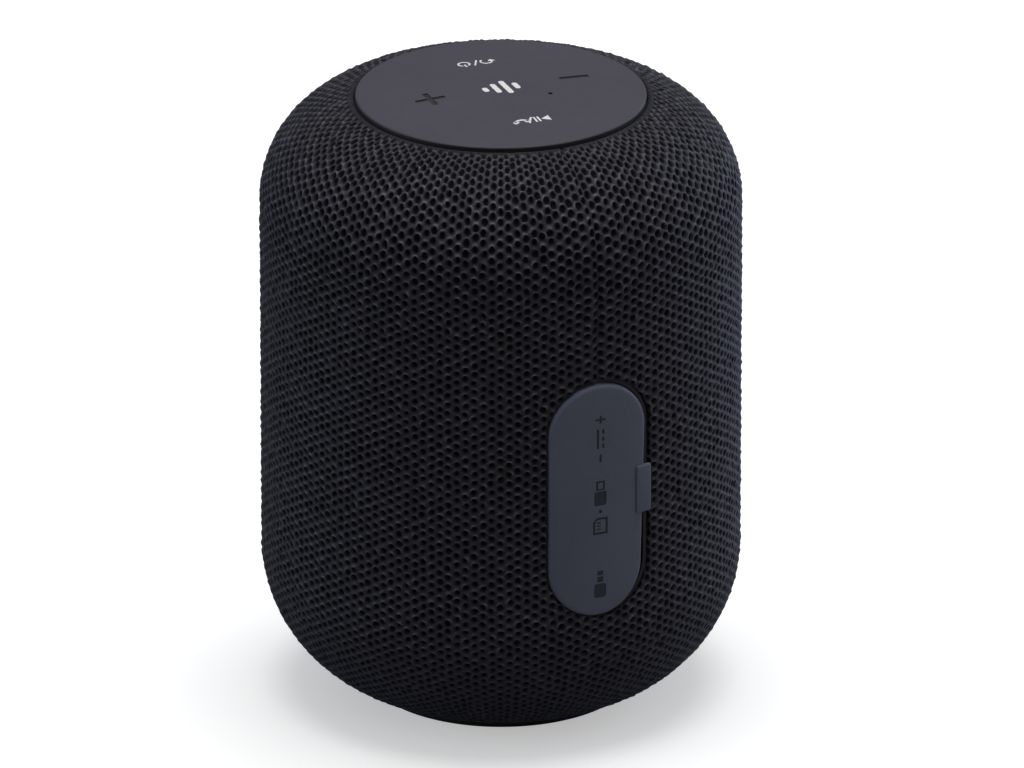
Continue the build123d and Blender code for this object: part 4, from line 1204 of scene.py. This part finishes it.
def rubber_foot():
    """The foot: a ribbed band round a shallow dished middle."""
    radius = FOOT_HIGH.x
    top = FOOT_HIGH.z
    outline = [(0, FOOT_DISH), (12.6, FOOT_DISH), (13.2, 0.6), (13.8, 0.15), (14.2, 0.0)]
    for k in range(GROOVES):
        start = GROOVE_START + GROOVE_PITCH * k
        outline += [(start, 0.0), (start + 0.12, GROOVE_DEPTH)]
        outline += [(start + 0.42, GROOVE_DEPTH), (start + 0.54, 0.0)]
    outline.append((radius - 1.0, 0.0))
    for k in range(1, 6):
        angle = math.pi / 2 * k / 5
        outline.append((radius - 1.0 + math.sin(angle), 1.0 - math.cos(angle)))
    outline += [(radius, top - 0.3), (radius - 0.3, top), (0, top)]
    mesh = turned("foot", outline, 144)
    piece = new_piece("foot_tread", mesh, "foot_rubber", "casing")
    smooth_by_angle(piece, 40)
    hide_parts("rubber_foot")


rubber_foot()


def soft_ring(node, slot):
    """One of the driver's soft rings, copied from the CAD part as a piece of its own."""
    mesh = frame["nodes"][node].data.copy()
    mesh.materials.clear()
    piece = new_piece("soft_" + node, mesh, slot)
    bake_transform(piece)
    soften(piece)
    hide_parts(node)


soft_ring("driver_surround", "surround_rubber")
soft_ring("driver_spider", "spider_cloth")


# ---------- finishes of the CAD pieces
for entry in frame["record"]["subparts"]:
    solid = frame["nodes"][entry["node"]]
    solid.data.materials.clear()
    solid.data.materials.append(FINISHES[entry["material_slot"]])


# ---------- studio
FLOOR_GLOW = 0.42           # light of its own that the floor shows to the camera
FLOOR_DARK = (0.17, 0.17, 0.18, 1)      # what it throws back beside the object's left
FLOOR_PALE = (0.50, 0.50, 0.56, 1)      # and right
ROOM_LIGHT = (0.08, 0.45)   # brightness of the room from below and from above


def floor():
    """A pale sheet that looks white but throws little light back on the object."""
    size = 4.0
    corners = [(x * size, y * size, 0) for x, y in ((-1, -1), (1, -1), (1, 1), (-1, 1))]
    mesh = bpy.data.meshes.new("floor")
    mesh.from_pydata(corners, [], [(0, 1, 2, 3)])
    ground = put("floor", mesh)
    finish = Finish("floor_paper", (0.9, 0.9, 0.9), 0.9, specular=0.1)
    shown = finish.tinted(finish.spread(finish.noise(40.0, 3.0), 0.99, 1.0))
    camera_only = finish.seen_by_camera()
    side = finish.add("ShaderNodeSeparateXYZ", Vector=finish.place).outputs["X"]
    bounced = finish.mix(finish.spread(side, 0.0, 1.0, -0.15, 0.35), FLOOR_DARK, FLOOR_PALE)
    finish.set("Base Color", finish.mix(camera_only, bounced, shown))
    finish.set("Emission Color", (1, 1, 1, 1))
    finish.set("Emission Strength", finish.maths("MULTIPLY", camera_only, FLOOR_GLOW))
    ground.data.materials.append(finish.material)


def backdrop():
    """White behind the object, and a dimmer room lit from above around it."""
    world = bpy.data.worlds.new("studio")
    bpy.context.scene.world = world
    world.use_nodes = True
    nodes = Nodes(world.node_tree)
    place = nodes.add("ShaderNodeTexCoord").outputs["Generated"]
    up = nodes.add("ShaderNodeSeparateXYZ", Vector=place).outputs["Z"]
    room = nodes.spread(up, *ROOM_LIGHT, -0.1, 1.0)
    shown = nodes.add("ShaderNodeMix", Factor=nodes.seen_by_camera(), A=room, B=1.0)
    background = nodes.tree.nodes["Background"]
    nodes.feed(background.inputs["Color"], (1, 1, 1, 1))
    nodes.feed(background.inputs["Strength"], shown.outputs["Result"])


def lamp(name, place, size, power, colour=(1, 1, 1)):
    """A round soft light aimed at the object."""
    light = bpy.data.lights.new(name, "AREA")
    light.shape = "DISK"
    light.size = size
    light.energy = power
    light.color = colour
    holder = put(name, light)
    holder.location = place
    aim = Vector((0, 0, 0.05)) - Vector(place)
    holder.rotation_euler = aim.to_track_quat("-Z", "Y").to_euler()


def studio():
    """Pale floor, a large soft light overhead and cool lights from the sides."""
    floor()
    backdrop()
    lamp("overhead", (0.08, 0.05, 1.15), 0.9, 7.3)
    lamp("front", (0.60, -1.1, 0.45), 0.8, 0.8)
    lamp("left", (-1.0, 0.30, 0.25), 0.6, 2.3, (0.76, 0.84, 1.0))
    lamp("right", (0.95, 0.20, 0.25), 0.6, 2.1, (0.74, 0.82, 1.0))
    bpy.context.scene.view_settings.view_transform = "Standard"


CAMERA_AZIMUTH = -23.7
CAMERA_ELEVATION = 22.7
CAMERA_DISTANCE = 3.0
BODY_SHARE = 0.469043       # the body's width as a share of the picture's
SENSOR_WIDTH = 36.0


def camera():
    """A long lens at the viewing angle, so that the barrel shows almost no perspective."""
    azimuth = math.radians(CAMERA_AZIMUTH)
    elevation = math.radians(CAMERA_ELEVATION)
    direction = Vector((
        math.sin(azimuth) * math.cos(elevation),
        -math.cos(azimuth) * math.cos(elevation),
        math.sin(elevation),
    ))
    target = Vector((0, 0, PAD_EDGE_Z / 2)) * MM
    lens = bpy.data.cameras.new("camera")
    lens.sensor_width = SENSOR_WIDTH
    lens.lens = SENSOR_WIDTH * BODY_SHARE * CAMERA_DISTANCE / (2 * BODY_RADIUS * MM)
    lens.shift_x = 0.0108
    lens.shift_y = 0.0021
    lens.clip_end = 20
    holder = put("camera", lens)
    holder.location = target + direction * CAMERA_DISTANCE
    holder.rotation_euler = (-direction).to_track_quat("-Z", "Y").to_euler()
    bpy.context.scene.camera = holder


studio()
camera()
